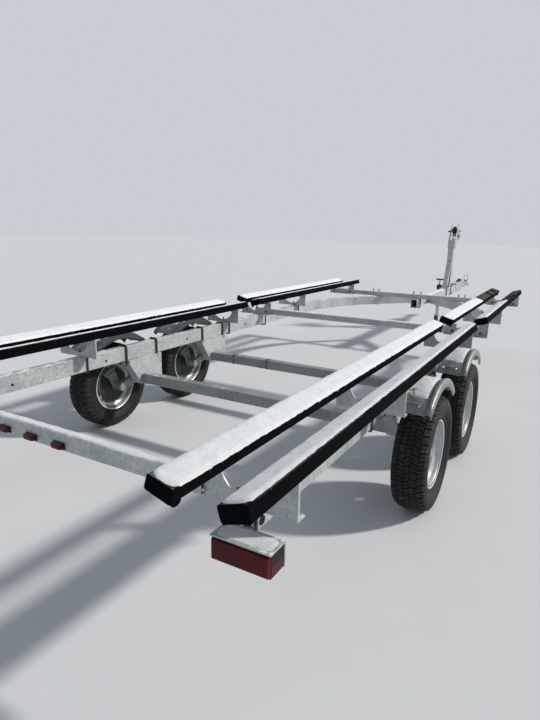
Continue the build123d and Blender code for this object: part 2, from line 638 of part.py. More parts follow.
def yoke():
    """Two ears on the sides of the mast, drilled for the roller's pin."""
    root = POST_TOP - EAR_ROOT
    y0 = POST_REAR_Y + 16
    y1 = POST_FRONT_Y
    outline = [(y0, root), (y1, root), (y1 + 14, POST_TOP + 20), (ROLLER_Y + 36, ROLLER_Z - 10),
               (ROLLER_Y + 36, ROLLER_Z + EAR_TIP - 14), (ROLLER_Y + 20, ROLLER_Z + EAR_TIP),
               (ROLLER_Y - 14, ROLLER_Z + EAR_TIP), (ROLLER_Y - 32, ROLLER_Z + EAR_TIP - 34),
               (ROLLER_Y - 40, ROLLER_Z - 10), (y0, POST_TOP)]
    ears = []
    for sign in (-1, 1):
        x = sign * (EAR_GAP + EAR_SHEET) / 2
        ear = side_plate(x - EAR_SHEET / 2, EAR_SHEET, outline)
        pad = sorted((sign * POST_WIDTH / 2, sign * EAR_GAP / 2))
        ears.append(ear + block(pad[0], pad[1], y0, y1 - TUBE_CORNER, root + 6, POST_TOP - 20))
    return (ears[0] + ears[1]) - rod(ROLLER_PIN + RUN_CLEARANCE, 2 * EAR_GAP, "X", (0, ROLLER_Y, ROLLER_Z))


def bow_roller():
    half = ROLLER_WIDTH / 2
    crown = ROLLER_CROWN / 2
    shoulder = ROLLER_RADIUS - 7
    outline = [(-half, 0), (-half, shoulder), (-crown, ROLLER_RADIUS), (crown, ROLLER_RADIUS),
               (half, shoulder), (half, 0)]
    roller = turned(outline, SMALL_SIDES)
    return Pos(0, ROLLER_Y, ROLLER_Z) * (roller - rod(ROLLER_BORE, 2 * ROLLER_WIDTH, "X", (0, 0, 0)))


def roller_pin():
    reach = EAR_GAP / 2 + EAR_SHEET + 4
    pin = Rot(0, 90, 0) * extrude(RegularPolygon(ROLLER_PIN, SMALL_SIDES), reach, both=True)
    sleeve = rod(ROLLER_SLEEVE, EAR_GAP - 2 * SEAT_GAP, "X", (0, 0, 0))
    return Pos(0, ROLLER_Y, ROLLER_Z) * (pin + sleeve)


def winch_frame():
    half = SHELF_WIDTH / 2
    y0 = WINCH_Y - DRUM_FLANGE - WINCH_SHEET
    y1 = y0 + WINCH_LENGTH
    z1 = SHELF_TOP + WINCH_HEIGHT
    frame = block(-half, half, y0, y1, SHELF_TOP, SHELF_TOP + WINCH_SHEET)
    outline = [(y0, SHELF_TOP), (y1, SHELF_TOP), (y1, SHELF_TOP + 40), (CRANK_Y + 20, z1),
               (CRANK_Y - 20, z1), (y0, WINCH_Z + DRUM_FLANGE)]
    for x in (-half, half - WINCH_SHEET):
        frame += side_plate(x, WINCH_SHEET, outline)
    plane = Plane(origin=(half, 0, 0), x_dir=(0, 1, 0), z_dir=(1, 0, 0))
    ends = Pos(WINCH_Y, WINCH_Z) * RegularPolygon(DRUM_FLANGE + 4, SMALL_SIDES)
    ends += Pos(CRANK_Y, CRANK_Z) * RegularPolygon(2.5 * CRANK_SHAFT, SMALL_SIDES)
    frame += extrude(plane * make_hull(ends.edges()), GEAR_COVER)
    frame -= rod(DRUM_SHAFT + RUN_CLEARANCE, SHELF_WIDTH + GEAR_COVER, "X", (0, WINCH_Y, WINCH_Z))
    return frame - rod(CRANK_SHAFT + RUN_CLEARANCE, 3 * SHELF_WIDTH, "X", (0, CRANK_Y, CRANK_Z))


def winch_drum():
    half = DRUM_WIDTH / 2
    edge = half + DRUM_FLANGE_SHEET
    spool = [(-edge, 0), (-edge, DRUM_FLANGE), (-half, DRUM_FLANGE), (-half, DRUM_RADIUS),
             (half, DRUM_RADIUS), (half, DRUM_FLANGE), (edge, DRUM_FLANGE), (edge, 0)]
    drum = turned(spool, SMALL_SIDES) + rod(DRUM_SHAFT, SHELF_WIDTH + 16, "X", (0, 0, 0))
    return Pos(0, WINCH_Y, WINCH_Z) * drum


def winch_crank():
    arm_x = -SHELF_WIDTH / 2 - CRANK_STAND
    shaft_start = arm_x - CRANK_ARM_SHEET
    shaft_end = SHELF_WIDTH / 2 + GEAR_COVER + 5
    crank = rod(CRANK_SHAFT, shaft_end - shaft_start, "X", ((shaft_start + shaft_end) / 2, CRANK_Y, CRANK_Z))
    half = CRANK_ARM_WIDTH / 2
    arm_y = CRANK_Y + CRANK_ARM
    crank += block(shaft_start, arm_x, CRANK_Y - half, arm_y + half, CRANK_Z - half, CRANK_Z + half)
    grip = Rot(0, -90, 0) * extrude(RegularPolygon(CRANK_GRIP_RADIUS, SMALL_SIDES), CRANK_GRIP)
    return crank + Pos(arm_x, arm_y, CRANK_Z) * grip


# Jack

def jack_bracket():
    half = TONGUE_WIDTH / 2
    sheet = JACK_BRACKET_SHEET
    y0 = JACK_Y - JACK_BRACKET_LENGTH / 2
    y1 = JACK_Y + JACK_BRACKET_LENGTH / 2
    strap_y = POST_FRONT_Y + POST_FOOT_FRONT + 6
    bracket = block(-half - sheet, -half, y0, y1, RAIL_BOTTOM - sheet, RAIL_TOP)
    bracket += block(-half - sheet, half + sheet, strap_y, y1, RAIL_TOP, RAIL_TOP + sheet)
    bracket += block(-half - sheet, half + sheet, y0, y1, RAIL_BOTTOM - sheet, RAIL_BOTTOM)
    boss_x = -half - sheet - JACK_BOSS / 2
    return bracket + rod(JACK_BOSS_RADIUS, JACK_BOSS, "X", (boss_x, JACK_Y, JACK_PIVOT_Z))


def jack_tube():
    middle = (JACK_TOP + JACK_TUBE_BOTTOM) / 2
    tube = rod(JACK_TUBE_RADIUS, JACK_TOP - JACK_TUBE_BOTTOM, "Z", (JACK_X, JACK_Y, middle))
    flange_start = -TONGUE_WIDTH / 2 - JACK_BRACKET_SHEET - JACK_BOSS - SEAT_GAP
    flange_end = JACK_X + JACK_LEG_RADIUS
    flange = turned([(flange_end, 0), (flange_end, JACK_FLANGE_RADIUS), (flange_start, JACK_FLANGE_RADIUS),
                     (flange_start, 0)], SMALL_SIDES)
    tube += Pos(0, JACK_Y, JACK_PIVOT_Z) * flange
    side = JACK_TUBE_RADIUS + 4
    low = JACK_TOP - 3 * JACK_CAP
    tube += block(JACK_X - side, JACK_X + side, JACK_Y - side, JACK_Y + side, low, JACK_TOP)
    bore = rod(JACK_LEG_RADIUS + JACK_LEG_CLEARANCE, JACK_TOP - JACK_CAP - JACK_TUBE_BOTTOM + 10, "Z",
               (JACK_X, JACK_Y, (JACK_TOP - JACK_CAP + JACK_TUBE_BOTTOM - 10) / 2))
    return tube - bore


def jack_leg():
    top = JACK_TUBE_BOTTOM + JACK_LEG_INSIDE - 50
    return rod(JACK_LEG_RADIUS, top - JACK_LEG_BOTTOM, "Z", (JACK_X, JACK_Y, (top + JACK_LEG_BOTTOM) / 2))


def jack_fork():
    top = JACK_LEG_BOTTOM - SEAT_GAP
    y = JACK_Y - CASTER_TRAIL
    half = JACK_FORK_GAP / 2 + JACK_FORK_SHEET
    plate = extrude(RegularPolygon(JACK_TUBE_RADIUS + 2, SMALL_SIDES), -8)
    fork = Pos(JACK_X, JACK_Y, top) * plate
    fork += block(JACK_X - half, JACK_X + half, y - 26, JACK_Y + 30, top - 14, top - 4)
    low = JACK_WHEEL_RADIUS - 14
    leg = [(y - 14, low), (y + 14, low), (JACK_Y + 26, top - 8), (y - 26, top - 8)]
    for x in (JACK_X - half, JACK_X + half - JACK_FORK_SHEET):
        fork += side_plate(x, JACK_FORK_SHEET, leg)
    return fork + rod(JACK_AXLE_RADIUS, 2 * half + 8, "X", (JACK_X, y, JACK_WHEEL_RADIUS))


def jack_wheel():
    half = JACK_WHEEL_WIDTH / 2
    boss = JACK_WHEEL_BOSS
    outline = [(half, 0), (half, boss), (half - 8, boss + 4), (half - 8, JACK_WHEEL_RADIUS - 20),
               (half, JACK_WHEEL_RADIUS - 14), (half - 4, JACK_WHEEL_RADIUS)]
    wheel = turned(outline + [(-x, r) for x, r in outline[::-1]], SMALL_SIDES)
    wheel -= rod(JACK_AXLE_RADIUS + RUN_CLEARANCE, 2 * JACK_WHEEL_WIDTH, "X", (0, 0, 0))
    return Pos(JACK_X, JACK_Y - CASTER_TRAIL, JACK_WHEEL_RADIUS) * wheel


def jack_crank():
    start = JACK_TOP + SEAT_GAP
    stem = rod(7, JACK_GRIP_Z - start, "Z", (JACK_X, JACK_Y, (JACK_GRIP_Z + start) / 2))
    grip = Rot(0, 90, 0) * extrude(RegularPolygon(JACK_GRIP_RADIUS, 8), JACK_GRIP_LENGTH / 2, both=True)
    return stem + Pos(JACK_X, JACK_Y, JACK_GRIP_Z) * grip


# Surge actuator and coupler

def actuator():
    inner = TONGUE_WIDTH / 2
    outer = inner + ACTUATOR_SHEET
    y0 = TONGUE_FRONT - ACTUATOR_LAP
    top = RAIL_TOP + ACTUATOR_RAISE
    case = block(-outer, outer, y0, ACTUATOR_FRONT, RAIL_BOTTOM - ACTUATOR_SHEET, top + ACTUATOR_SHEET)
    case -= block(-inner, inner, y0 - 1, TONGUE_FRONT, RAIL_BOTTOM, RAIL_TOP)
    case -= block(-inner, inner, TONGUE_FRONT, ACTUATOR_FRONT + 1, RAIL_BOTTOM, top)
    pitch = (ACTUATOR_FRONT - TONGUE_FRONT - ACTUATOR_RIB) / 3
    for k in range(4):
        y = TONGUE_FRONT + k * pitch
        for x in (-outer - ACTUATOR_RIB_HEIGHT, outer):
            case += block(x, x + ACTUATOR_RIB_HEIGHT, y, y + ACTUATOR_RIB, RAIL_BOTTOM, top)
    return case


def brake_reservoir():
    base = RAIL_TOP + ACTUATOR_RAISE + ACTUATOR_SHEET
    half = RESERVOIR_WIDTH / 2
    y1 = ACTUATOR_FRONT + RESERVOIR_LENGTH / 3
    y0 = y1 - RESERVOIR_LENGTH
    tank = block(-half, half, y0, y1, base, base + RESERVOIR_HEIGHT)
    tank = chamfer(tank.edges().filter_by(Axis.Z), 8)
    cap = extrude(RegularPolygon(RESERVOIR_CAP, SMALL_SIDES), 2 * RESERVOIR_HEIGHT)
    return tank + Pos(0, (y0 + y1) / 2, base) * cap


def coupler():
    half = TONGUE_WIDTH / 2 - SEAT_GAP
    top = RAIL_TOP + ACTUATOR_RAISE
    slide_end = ACTUATOR_FRONT - 10
    body = block(-half, half, TONGUE_FRONT + SLIDE_PLAY, slide_end, RAIL_BOTTOM + SEAT_GAP, top - SEAT_GAP)
    neck_low = COUPLER_Z - NECK_HEIGHT / 2
    neck_high = COUPLER_Z + NECK_HEIGHT / 2
    body += block(-NECK_WIDTH / 2, NECK_WIDTH / 2, slide_end - 10, BALL_Y, neck_low, neck_high)
    body += Pos(0, BALL_Y, COUPLER_Z + 2) * Cylinder(HEAD_RADIUS, HEAD_HEIGHT)
    lug = [(LATCH_Y - 26, neck_high - 4), (LATCH_Y + 26, neck_high - 4), (LATCH_Y + 12, LATCH_Z + 12),
           (LATCH_Y - 12, LATCH_Z + 12)]
    for x in (-LUG_HALF, LUG_HALF - LATCH_SHEET):
        body += side_plate(x, LATCH_SHEET, lug)
    bottom = COUPLER_Z + 2 - HEAD_HEIGHT / 2
    socket = Cylinder(BALL_RADIUS + BALL_CLEARANCE, SOCKET_DEPTH + 2)
    body -= Pos(0, BALL_Y, bottom + SOCKET_DEPTH / 2 - 1) * socket
    return body - rod(LATCH_PIN + RUN_CLEARANCE, 2 * NECK_WIDTH, "X", (0, LATCH_Y, LATCH_Z))


def coupler_latch():
    low = LATCH_Z - LATCH_LEG / 2
    high = LATCH_Z + LATCH_HEIGHT
    y0 = LATCH_Y - LATCH_LEG / 2
    y1 = LATCH_Y + LATCH_LEG / 2
    hoop = block(-LATCH_HALF, LATCH_HALF, y0, y1, low, high)
    inner = LATCH_HALF - LATCH_SHEET
    hoop -= block(-inner, inner, y0 - 1, y1 + 1, low - 1, high - LATCH_SHEET)
    return hoop + rod(LATCH_PIN, 2 * LATCH_HALF, "X", (0, LATCH_Y, LATCH_Z))


# All nodes

for side in SIDES:
    parts["main_rail_" + side] = main_rail(side)
    parts["tail_lamp_" + side] = lamp(side)
    parts["lamp_guard_" + side] = lamp_guard(side)
    parts["axle_hangers_" + side] = Compound([mirrored(hanger(y), side) for y in AXLES.values()])
    parts["torsion_arms_" + side] = Compound([torsion_arm(y, side) for y in AXLES.values()])
    parts["fenders_" + side] = Compound([fender(y, side) for y in AXLES.values()])
    for group, (start, inner_gap, outer_gap, reach, pair_x) in BUNK_ROWS.items():
        gaps = {-1: inner_gap, 1: outer_gap}
        boards = [mirrored(bunk(s, start + gap, reach - gap, pair_x), side) for s, gap in gaps.items()]
        parts["bunks_" + group + "_" + side] = Compound(boards)
        saddles = [mirrored(saddle(y, facing, pair_x), side) for y, facing in SADDLE_ROWS[group]]
        parts["saddles_" + group + "_" + side] = Compound(saddles)

wheel = {"tyre": tyre(), "rim": rim(), "hub": hub()}
for axle, y in AXLES.items():
    parts["axle_beam_" + axle] = axle_beam(y)
    for side in SIDES:
        place = Pos(SIDES[side] * WHEEL_X, y, TYRE_RADIUS)
        for name, shape in wheel.items():
            parts[name + "_" + axle + "_" + side] = place * mirrored(shape, side)

parts["tongue_tube"] = tongue()
# Each tube across the rails: half its length, the station of its rear face and its height.
CROSS_ROWS = {
    "light_bar": (PAIR_X - SADDLE_HALF - SEAT_GAP, LIGHT_BAR_Y, LIGHT_BAR_HEIGHT),
    "crossmember_mid": (RAIL_OUTER + CROSS_MID_OVERHANG, CROSS_MID_Y, CROSS_HEIGHT),
    "crossmember_front": (PAIR_X + SADDLE_HALF + CROSS_FRONT_OVERHANG, CROSS_FRONT_Y, CROSS_HEIGHT),
}
for name, (half, y, height) in CROSS_ROWS.items():
    parts[name] = cross_tube(half, y, RAIL_TOP, CROSS_DEPTH, height, CROSS_WALL)
parts["marker_lamps"] = marker_lamps()
for make in (winch_post, bow_roller, roller_pin, winch_frame, winch_drum, winch_crank, jack_bracket,
             jack_tube, jack_leg, jack_fork, jack_wheel, jack_crank, brake_reservoir, coupler,
             coupler_latch):
    parts[make.__name__] = make()
parts["surge_actuator"] = actuator()

os.makedirs("parts", exist_ok=True)
for name, shape in parts.items():
    export_step(Pos(0, SHIFT_Y, 0) * shape, "parts/" + name + ".step")
print(len(parts), "parts, shift", SHIFT_Y)
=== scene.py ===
import json
import bpy
import bmesh
from math import atan2, copysign, cos, hypot, pi, radians, sin, sqrt, tau
from mathutils import Matrix, Vector, noise


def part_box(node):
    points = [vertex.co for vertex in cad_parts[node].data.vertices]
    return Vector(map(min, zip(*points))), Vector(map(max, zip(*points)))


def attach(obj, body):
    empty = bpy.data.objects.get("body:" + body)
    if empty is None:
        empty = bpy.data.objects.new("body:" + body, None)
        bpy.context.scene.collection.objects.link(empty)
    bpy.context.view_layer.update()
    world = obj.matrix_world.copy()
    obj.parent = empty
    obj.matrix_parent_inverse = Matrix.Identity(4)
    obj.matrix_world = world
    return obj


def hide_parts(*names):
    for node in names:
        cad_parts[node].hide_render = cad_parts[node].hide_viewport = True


bl_info = {
    "name": "Boat trailer looks",
    "version": (1, 0, 0),
    "blender": (4, 5, 0),
    "location": "View3D > Sidebar > Trailer",
    "description": "Finishes and small pieces of a galvanised tandem boat trailer",
    "category": "Object",
}

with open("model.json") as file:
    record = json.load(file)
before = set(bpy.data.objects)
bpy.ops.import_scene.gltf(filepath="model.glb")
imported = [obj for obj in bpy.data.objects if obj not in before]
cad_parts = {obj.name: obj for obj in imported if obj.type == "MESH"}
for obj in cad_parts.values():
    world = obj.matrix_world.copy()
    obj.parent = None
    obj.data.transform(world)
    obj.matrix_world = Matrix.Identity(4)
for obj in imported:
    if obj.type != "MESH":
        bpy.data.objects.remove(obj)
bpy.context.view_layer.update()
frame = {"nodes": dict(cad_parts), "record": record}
FRAME_BODY = "trailer_frame"
SIDES = {"left": -1, "right": 1}
AXLES = ("rear", "front")
MM = 0.001
RIGHT, AHEAD, UP = Vector((1, 0, 0)), Vector((0, 1, 0)), Vector((0, 0, 1))


# Reading the frame

def node_box(name):
    low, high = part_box(name)
    return Vector(low), Vector(high)


def node_centre(name):
    low, high = node_box(name)
    return (low + high) / 2


def node_object(name):
    item = frame["nodes"][name]
    return item if isinstance(item, bpy.types.Object) else bpy.data.objects[item]


REAR_AXLE_Y = node_centre("tyre_rear_right").y


def at(x, y, z):
    """A place in metres from millimetres measured from the rear axle on the ground."""
    return Vector((x * MM, y * MM + REAR_AXLE_Y, z * MM))


def station(place):
    """How far ahead of the rear axle a place is, in millimetres."""
    return (place.y - REAR_AXLE_Y) / MM


# Building meshes

def turns(count, first=0.0):
    """The angles of equal steps round a full turn, the first one that many steps on."""
    return [tau * (k + first) / count for k in range(count)]


def mirrored(profile):
    """The other half of a symmetrical profile of (along, radius) points."""
    return [(-along, radius) for along, radius in profile[::-1]]


def pressed(face, thickness):
    """The closed section of a pressed sheet, from the (along, radius) points of its face."""
    return face + [(along - thickness, radius) for along, radius in face[::-1]]


def around(centre, axis):
    """A function for places round an axis, from millimetres along it, a radius and an angle."""
    axis = Vector(axis).normalized()
    side = UP if abs(axis.z) < 0.9 else RIGHT
    side = (side - axis * side.dot(axis)).normalized()
    other = axis.cross(side)

    def on(along, radius, angle):
        return centre + (axis * along + (side * cos(angle) + other * sin(angle)) * radius) * MM

    return on


class Shape:
    """Points and faces of one piece, gathered before they become a mesh."""

    def __init__(self):
        self.points = []
        self.faces = []

    def add(self, points, faces):
        start = len(self.points)
        self.points.extend(Vector(p) for p in points)
        self.faces.extend([start + i for i in face] for face in faces)

    def cap(self, count, start=None):
        """One face over a ring of points: the last ones, or those from a start."""
        start = len(self.points) - count if start is None else start
        self.faces.append([start + k for k in range(count)])

    def grid(self, rows, close_rows=False, close_columns=False):
        """Quads between rows of points. A closed grid joins its last row or column to the first."""
        width = len(rows[0])
        faces = []
        for i in range(len(rows) if close_rows else len(rows) - 1):
            near, far = i * width, (i + 1) % len(rows) * width
            for j in range(width if close_columns else width - 1):
                k = (j + 1) % width
                faces.append((near + j, near + k, far + k, far + j))
        self.add([p for row in rows for p in row], faces)

    def turned(self, place, axis, profile, sides=32, capped=True, spin=0.0):
        """A turned form from (along, radius) points in millimetres: with flat ends, or else a closed ring."""
        on = around(place, axis)
        start, width = len(self.points), len(profile)
        rows = [[on(along, radius, angle) for along, radius in profile] for angle in turns(sides, spin)]
        self.grid(rows, close_rows=True, close_columns=not capped)
        if capped:
            for j in (0, width - 1):
                self.faces.append([start + k * width + j for k in range(sides)])

    def bar(self, path, radius, sides=10):
        """A round bar of a radius in millimetres along a path of places, with flat ends."""
        side, rows, start = None, [], len(self.points)
        for i, place in enumerate(path):
            ahead = (path[min(i + 1, len(path) - 1)] - path[max(i - 1, 0)]).normalized()
            side = ahead.orthogonal() if side is None else side - ahead * side.dot(ahead)
            side.normalize()
            up = ahead.cross(side)
            rows.append([place + (side * cos(a) + up * sin(a)) * radius * MM for a in turns(sides)])
        self.grid(rows, close_columns=True)
        self.cap(sides, start)
        self.cap(sides)

    def block(self, corner, opposite):
        """A plain block between two corners, for a bevel to soften."""
        x, y, z = (sorted(pair) for pair in zip(corner, opposite))
        points = [(x[i], y[j], z[k]) for k in (0, 1) for j in (0, 1) for i in (0, 1)]
        sides = ((0, 1, 3, 2), (4, 5, 7, 6), (0, 1, 5, 4), (2, 3, 7, 6), (0, 2, 6, 4), (1, 3, 7, 5))
        self.add(points, sides)

    def plate(self, outline, x0, x1):
        """A plate across X from (y, z) corners in millimetres from the rear axle."""
        count = len(outline)
        points = [at(x, y, z) for x in (x0, x1) for y, z in outline]
        sides = [(k, (k + 1) % count, (k + 1) % count + count, k + count) for k in range(count)]
        self.add(points, [range(count), range(count, 2 * count), *sides])

    def bolt(self, place, axis, size, tail=0):
        """A hexagon head on a washer, in shares of the size, and a threaded end of tail rings."""
        self.turned(place, axis, ((0, size * 0.5), (0, size * 1.1), (1.8, size * 1.1), (2.2, size * 0.5)), 20)
        self.turned(place, axis, ((2, size * 0.86), (size * 0.66, size * 0.86), (size * 0.78, size * 0.7)), 6)
        if tail:
            rings = [(size * 0.7 + i, size * (0.5 if i % 2 else 0.44)) for i in range(tail)]
            self.turned(place, axis, rings, 12)

    def bolts(self, axis, size, places, tail=0):
        """Like bolts at places in millimetres from the rear axle."""
        for place in places:
            self.bolt(at(*place), axis, size, tail)

    def outward_bolts(self, size, places, middle=0, tail=0):
        """Like bolts on both sides of a middle, pointing outwards."""
        for turn in (-1, 1):
            self.bolts((turn, 0, 0), size, [(middle + turn * x, y, z) for x, y, z in places], tail)


def rounded(path, radius, steps=5):
    """The path with each inner corner turned into a curve of about that radius in millimetres."""
    result = [path[0]]
    for before, corner, after in zip(path, path[1:], path[2:]):
        first = corner + (before - corner).normalized() * radius * MM
        last = corner + (after - corner).normalized() * radius * MM
        for k in range(steps + 1):
            t = k / steps
            result.append(first * (1 - t) ** 2 + corner * 2 * t * (1 - t) + last * t ** 2)
    return result + [path[-1]]


def wave(place, size_mm, seed=0.0):
    """Smooth noise between about -1 and 1, with humps of that size."""
    return noise.noise(Vector(place) * (1000.0 / size_mm) + Vector((seed, seed * 1.7, seed * 0.3)))


def piece(name, shape, finish, body=FRAME_BODY, replaces=(), bevel=0.0, angle=35.0, sheet=0.0):
    """Makes the gathered shape into an object with a finish that rides on a body."""
    if not shape.faces:
        raise RuntimeError(f"{name} has no faces")
    mesh = bpy.data.meshes.new(name)
    mesh.from_pydata(shape.points, [], shape.faces)
    work = bmesh.new()
    work.from_mesh(mesh)
    bmesh.ops.remove_doubles(work, verts=work.verts, dist=1e-6)
    bmesh.ops.recalc_face_normals(work, faces=work.faces)
    work.to_mesh(mesh)
    work.free()
    mesh.shade_smooth()
    mesh.set_sharp_from_angle(angle=radians(angle))
    mesh.materials.append(FINISHES[finish])
    item = bpy.data.objects.new(name, mesh)
    bpy.context.scene.collection.objects.link(item)
    if sheet:
        skin = item.modifiers.new("sheet", "SOLIDIFY")
        skin.thickness = sheet * MM
        skin.offset = -1.0
    if bevel:
        edge = item.modifiers.new("edges", "BEVEL")
        edge.width = bevel * MM
        edge.segments = 2
        edge.limit_method = "ANGLE"
        edge.angle_limit = radians(40)
    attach(item, body)
    if replaces:
        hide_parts(*replaces)


# Colours and materials

FINISHES = {}


def linear(text):
    """The scene's colour for a hexadecimal screen colour."""
    channels = []
    for start in (1, 3, 5):
        value = int(text[start:start + 2], 16) / 255
        channels.append(value / 12.92 if value <= 0.04045 else ((value + 0.055) / 1.055) ** 2.4)
    return (*channels, 1.0)


def shade(tone, share):
    """The tone made darker or lighter."""
    return (*(min(1.0, c * share) for c in tone[:3]), 1.0)


def add(tree, kind, settings=None, links=None):
    """Adds one node, sets its properties and sockets, and links other sockets to it."""
    item = tree.nodes.new(kind)
    for key, value in (settings or {}).items():
        if isinstance(key, int) or key in item.inputs:
            item.inputs[key].default_value = value
        else:
            setattr(item, key, value)
    for key, source in (links or {}).items():
        tree.links.new(source, item.inputs[key])
    return item


class Finish:
    """A material while it is made, with its nodes, its shader and the place on the object."""

    def __init__(self, name):
        self.item = bpy.data.materials.new(name)
        self.item.use_nodes = True
        self.tree = self.item.node_tree
        self.tree.nodes.clear()
        self.shader = add(self.tree, "ShaderNodeBsdfPrincipled")
        add(self.tree, "ShaderNodeOutputMaterial", links={"Surface": self.shader.outputs["BSDF"]})
        self.place = add(self.tree, "ShaderNodeTexCoord").outputs["Object"]

    def give(self, socket, value):
        """Sets a socket of the shader to a constant, or links it to a pattern."""
        if isinstance(value, bpy.types.NodeSocket):
            self.tree.links.new(value, self.shader.inputs[socket])
        else:
            self.shader.inputs[socket].default_value = value

    def noise(self, size_mm, detail=6.0, rough=0.6, place=None):
        """Noise whose humps are size_mm across."""
        settings = {"Scale": 1000.0 / size_mm, "Detail": detail, "Roughness": rough}
        return add(self.tree, "ShaderNodeTexNoise", settings, {"Vector": place or self.place}).outputs["Fac"]

    def cells(self, size_mm, randomness, output):
        """Cells about size_mm across, like crystals or loops of yarn."""
        settings = {"Scale": 1000.0 / size_mm, "Randomness": randomness}
        return add(self.tree, "ShaderNodeTexVoronoi", settings, {"Vector": self.place}).outputs[output]

    def part(self, vector, letter):
        return add(self.tree, "ShaderNodeSeparateXYZ", links={0: vector}).outputs[letter]

    def ramp(self, source, *stops):
        """A scale of greys or colours over a value."""
        item = add(self.tree, "ShaderNodeValToRGB", links={"Fac": source})
        while len(item.color_ramp.elements) < len(stops):
            item.color_ramp.elements.new(0.5)
        for element, (place, colour) in zip(item.color_ramp.elements, stops):
            element.position = place
            element.color = colour if isinstance(colour, tuple) else (colour, colour, colour, 1.0)
        return item.outputs["Color"]

    def maths(self, operation, first, second, clamp=False):
        item = add(self.tree, "ShaderNodeMath", {"operation": operation, "use_clamp": clamp})
        for socket, value in zip(item.inputs, (first, second)):
            if isinstance(value, (int, float)):
                socket.default_value = value
            else:
                self.tree.links.new(value, socket)
        return item.outputs[0]

    def weighted(self, first, share, second):
        """Two values added up, the first with its share and the second with the rest."""
        parts = [self.maths("MULTIPLY", value, part) for value, part in ((first, share), (second, 1 - share))]
        return self.maths("ADD", *parts)

    def mix(self, factor, first, second, blend="MIX"):
        item = add(self.tree, "ShaderNodeMix", {"data_type": "RGBA", "blend_type": blend})
        for socket, value in ((0, factor), (6, first), (7, second)):
            if isinstance(value, (tuple, float)):
                item.inputs[socket].default_value = value
            else:
                self.tree.links.new(value, item.inputs[socket])
        return item.outputs[2]

    def bump(self, height, strength, distance_mm):
        settings = {"Strength": strength, "Distance": distance_mm * MM}
        self.give("Normal", add(self.tree, "ShaderNodeBump", settings, {"Height": height}).outputs["Normal"])

    def snow(self, amount, low, high):
        """Patchy dry snow with loose grains at its edges, on faces that look up more than low to high."""
        cover = self.weighted(self.noise(150, 7.0, 0.7), 0.65, self.noise(9, 3.0, 0.8))
        patches = self.ramp(cover, (0.66 - amount * 0.4, 0.0), (0.70 - amount * 0.4, 1.0))
        upward = self.part(add(self.tree, "ShaderNodeNewGeometry").outputs["Normal"], "Z")
        span = {"From Min": low, "From Max": high}
        facing = add(self.tree, "ShaderNodeMapRange", span, {"Value": upward}).outputs["Result"]
        return self.maths("MULTIPLY", patches, facing, True)


def galvanised_material(colours, name, snow=0.35, low=0.6, high=0.92, dark=1.0):
    # Zinc skin from a dip bath: cool dull grey with faint crystal spangle, clouding, drips and chalky bloom.
    work = Finish(name)
    grain = work.part(work.cells(13, 1.0, "Color"), "X")
    # A dark share below 1 darkens all three zinc tones as painted shade.
    tones = [shade(tone, dark) for tone in (colours.zinc_dark, colours.zinc, colours.zinc_bloom)]
    base = work.ramp(work.noise(190, 8.0, 0.62), *zip((0.30, 0.5, 0.72), tones))
    spangle = work.ramp(grain, (0.0, linear("#cfd4d5")), (1.0, linear("#ffffff")))
    tinted = work.mix(0.7, base, spangle, "MULTIPLY")
    stretched = add(work.tree, "ShaderNodeMapping", {"Scale": (1.0, 1.0, 0.12)}, {0: work.place}).outputs[0]
    runs = work.ramp(work.noise(16, 4.0, 0.55, stretched), (0.52, 0.0), (0.66, 1.0))
    stained = work.mix(work.maths("MULTIPLY", runs, 0.16), tinted, tuple(colours.drip))
    cover = work.snow(snow, low, high)
    work.give("Base Color", work.mix(cover, stained, tuple(colours.snow)))
    work.give("Metallic", work.ramp(cover, (0.0, 0.35), (0.6, 0.0)))
    work.give("Roughness", work.mix(cover, work.ramp(grain, (0.0, 0.40), (1.0, 0.54)), (0.9, 0.9, 0.9, 1.0)))
    work.bump(work.mix(cover, work.noise(9, 5.0), work.noise(5, 8.0, 0.8)), 0.2, 4)
    return work.item


def worked_finish(name, colour, rough, metallic, grain_mm, spread, relief, grime, amount, specular=0.5):
    """A small piece's finish: its tone with wear at two sizes, grain in its gloss, and dirt in patches."""
    work = Finish(name)
    speck = work.noise(grain_mm, 6.0, 0.65)
    smear = work.noise(grain_mm * 14, 6.0, 0.68)
    tone = linear(colour)
    base = work.ramp(smear, (0.3, shade(tone, 1 - spread)), (0.7, shade(tone, 1 + spread)))
    edge = 0.62 - amount * 0.25
    dirt = work.ramp(work.weighted(smear, 0.7, speck), (edge, 0.0), (edge + 0.16, 1.0))
    work.give("Base Color", work.mix(dirt, base, linear(grime)))
    work.give("Roughness", work.ramp(speck, (0.3, max(rough - 0.08, 0.05)), (0.7, min(rough + 0.1, 1.0))))
    work.give("Metallic", metallic)
    work.give("Specular IOR Level", specular)
    work.bump(speck, relief, 2)
    return work.item


def tread_material():
    # Tread rubber after a gravel yard: dull black blocks with pale grit and snow specks caught on them.
    work = Finish("dusty tread rubber")
    specks = work.noise(8, 4.0, 0.8)
    patches = work.noise(45, 4.0, 0.6)
    base = work.ramp(patches, (0.35, linear("#0b0b0c")), (0.7, linear("#1d1a17")))
    grit = work.ramp(work.weighted(specks, 0.6, patches), (0.55, 0.0), (0.63, 0.6))
    work.give("Base Color", work.mix(grit, base, linear("#827c70")))
    work.give("Roughness", work.ramp(specks, (0.3, 0.72), (0.7, 0.95)))
    work.bump(specks, 0.5, 2)
    return work.item


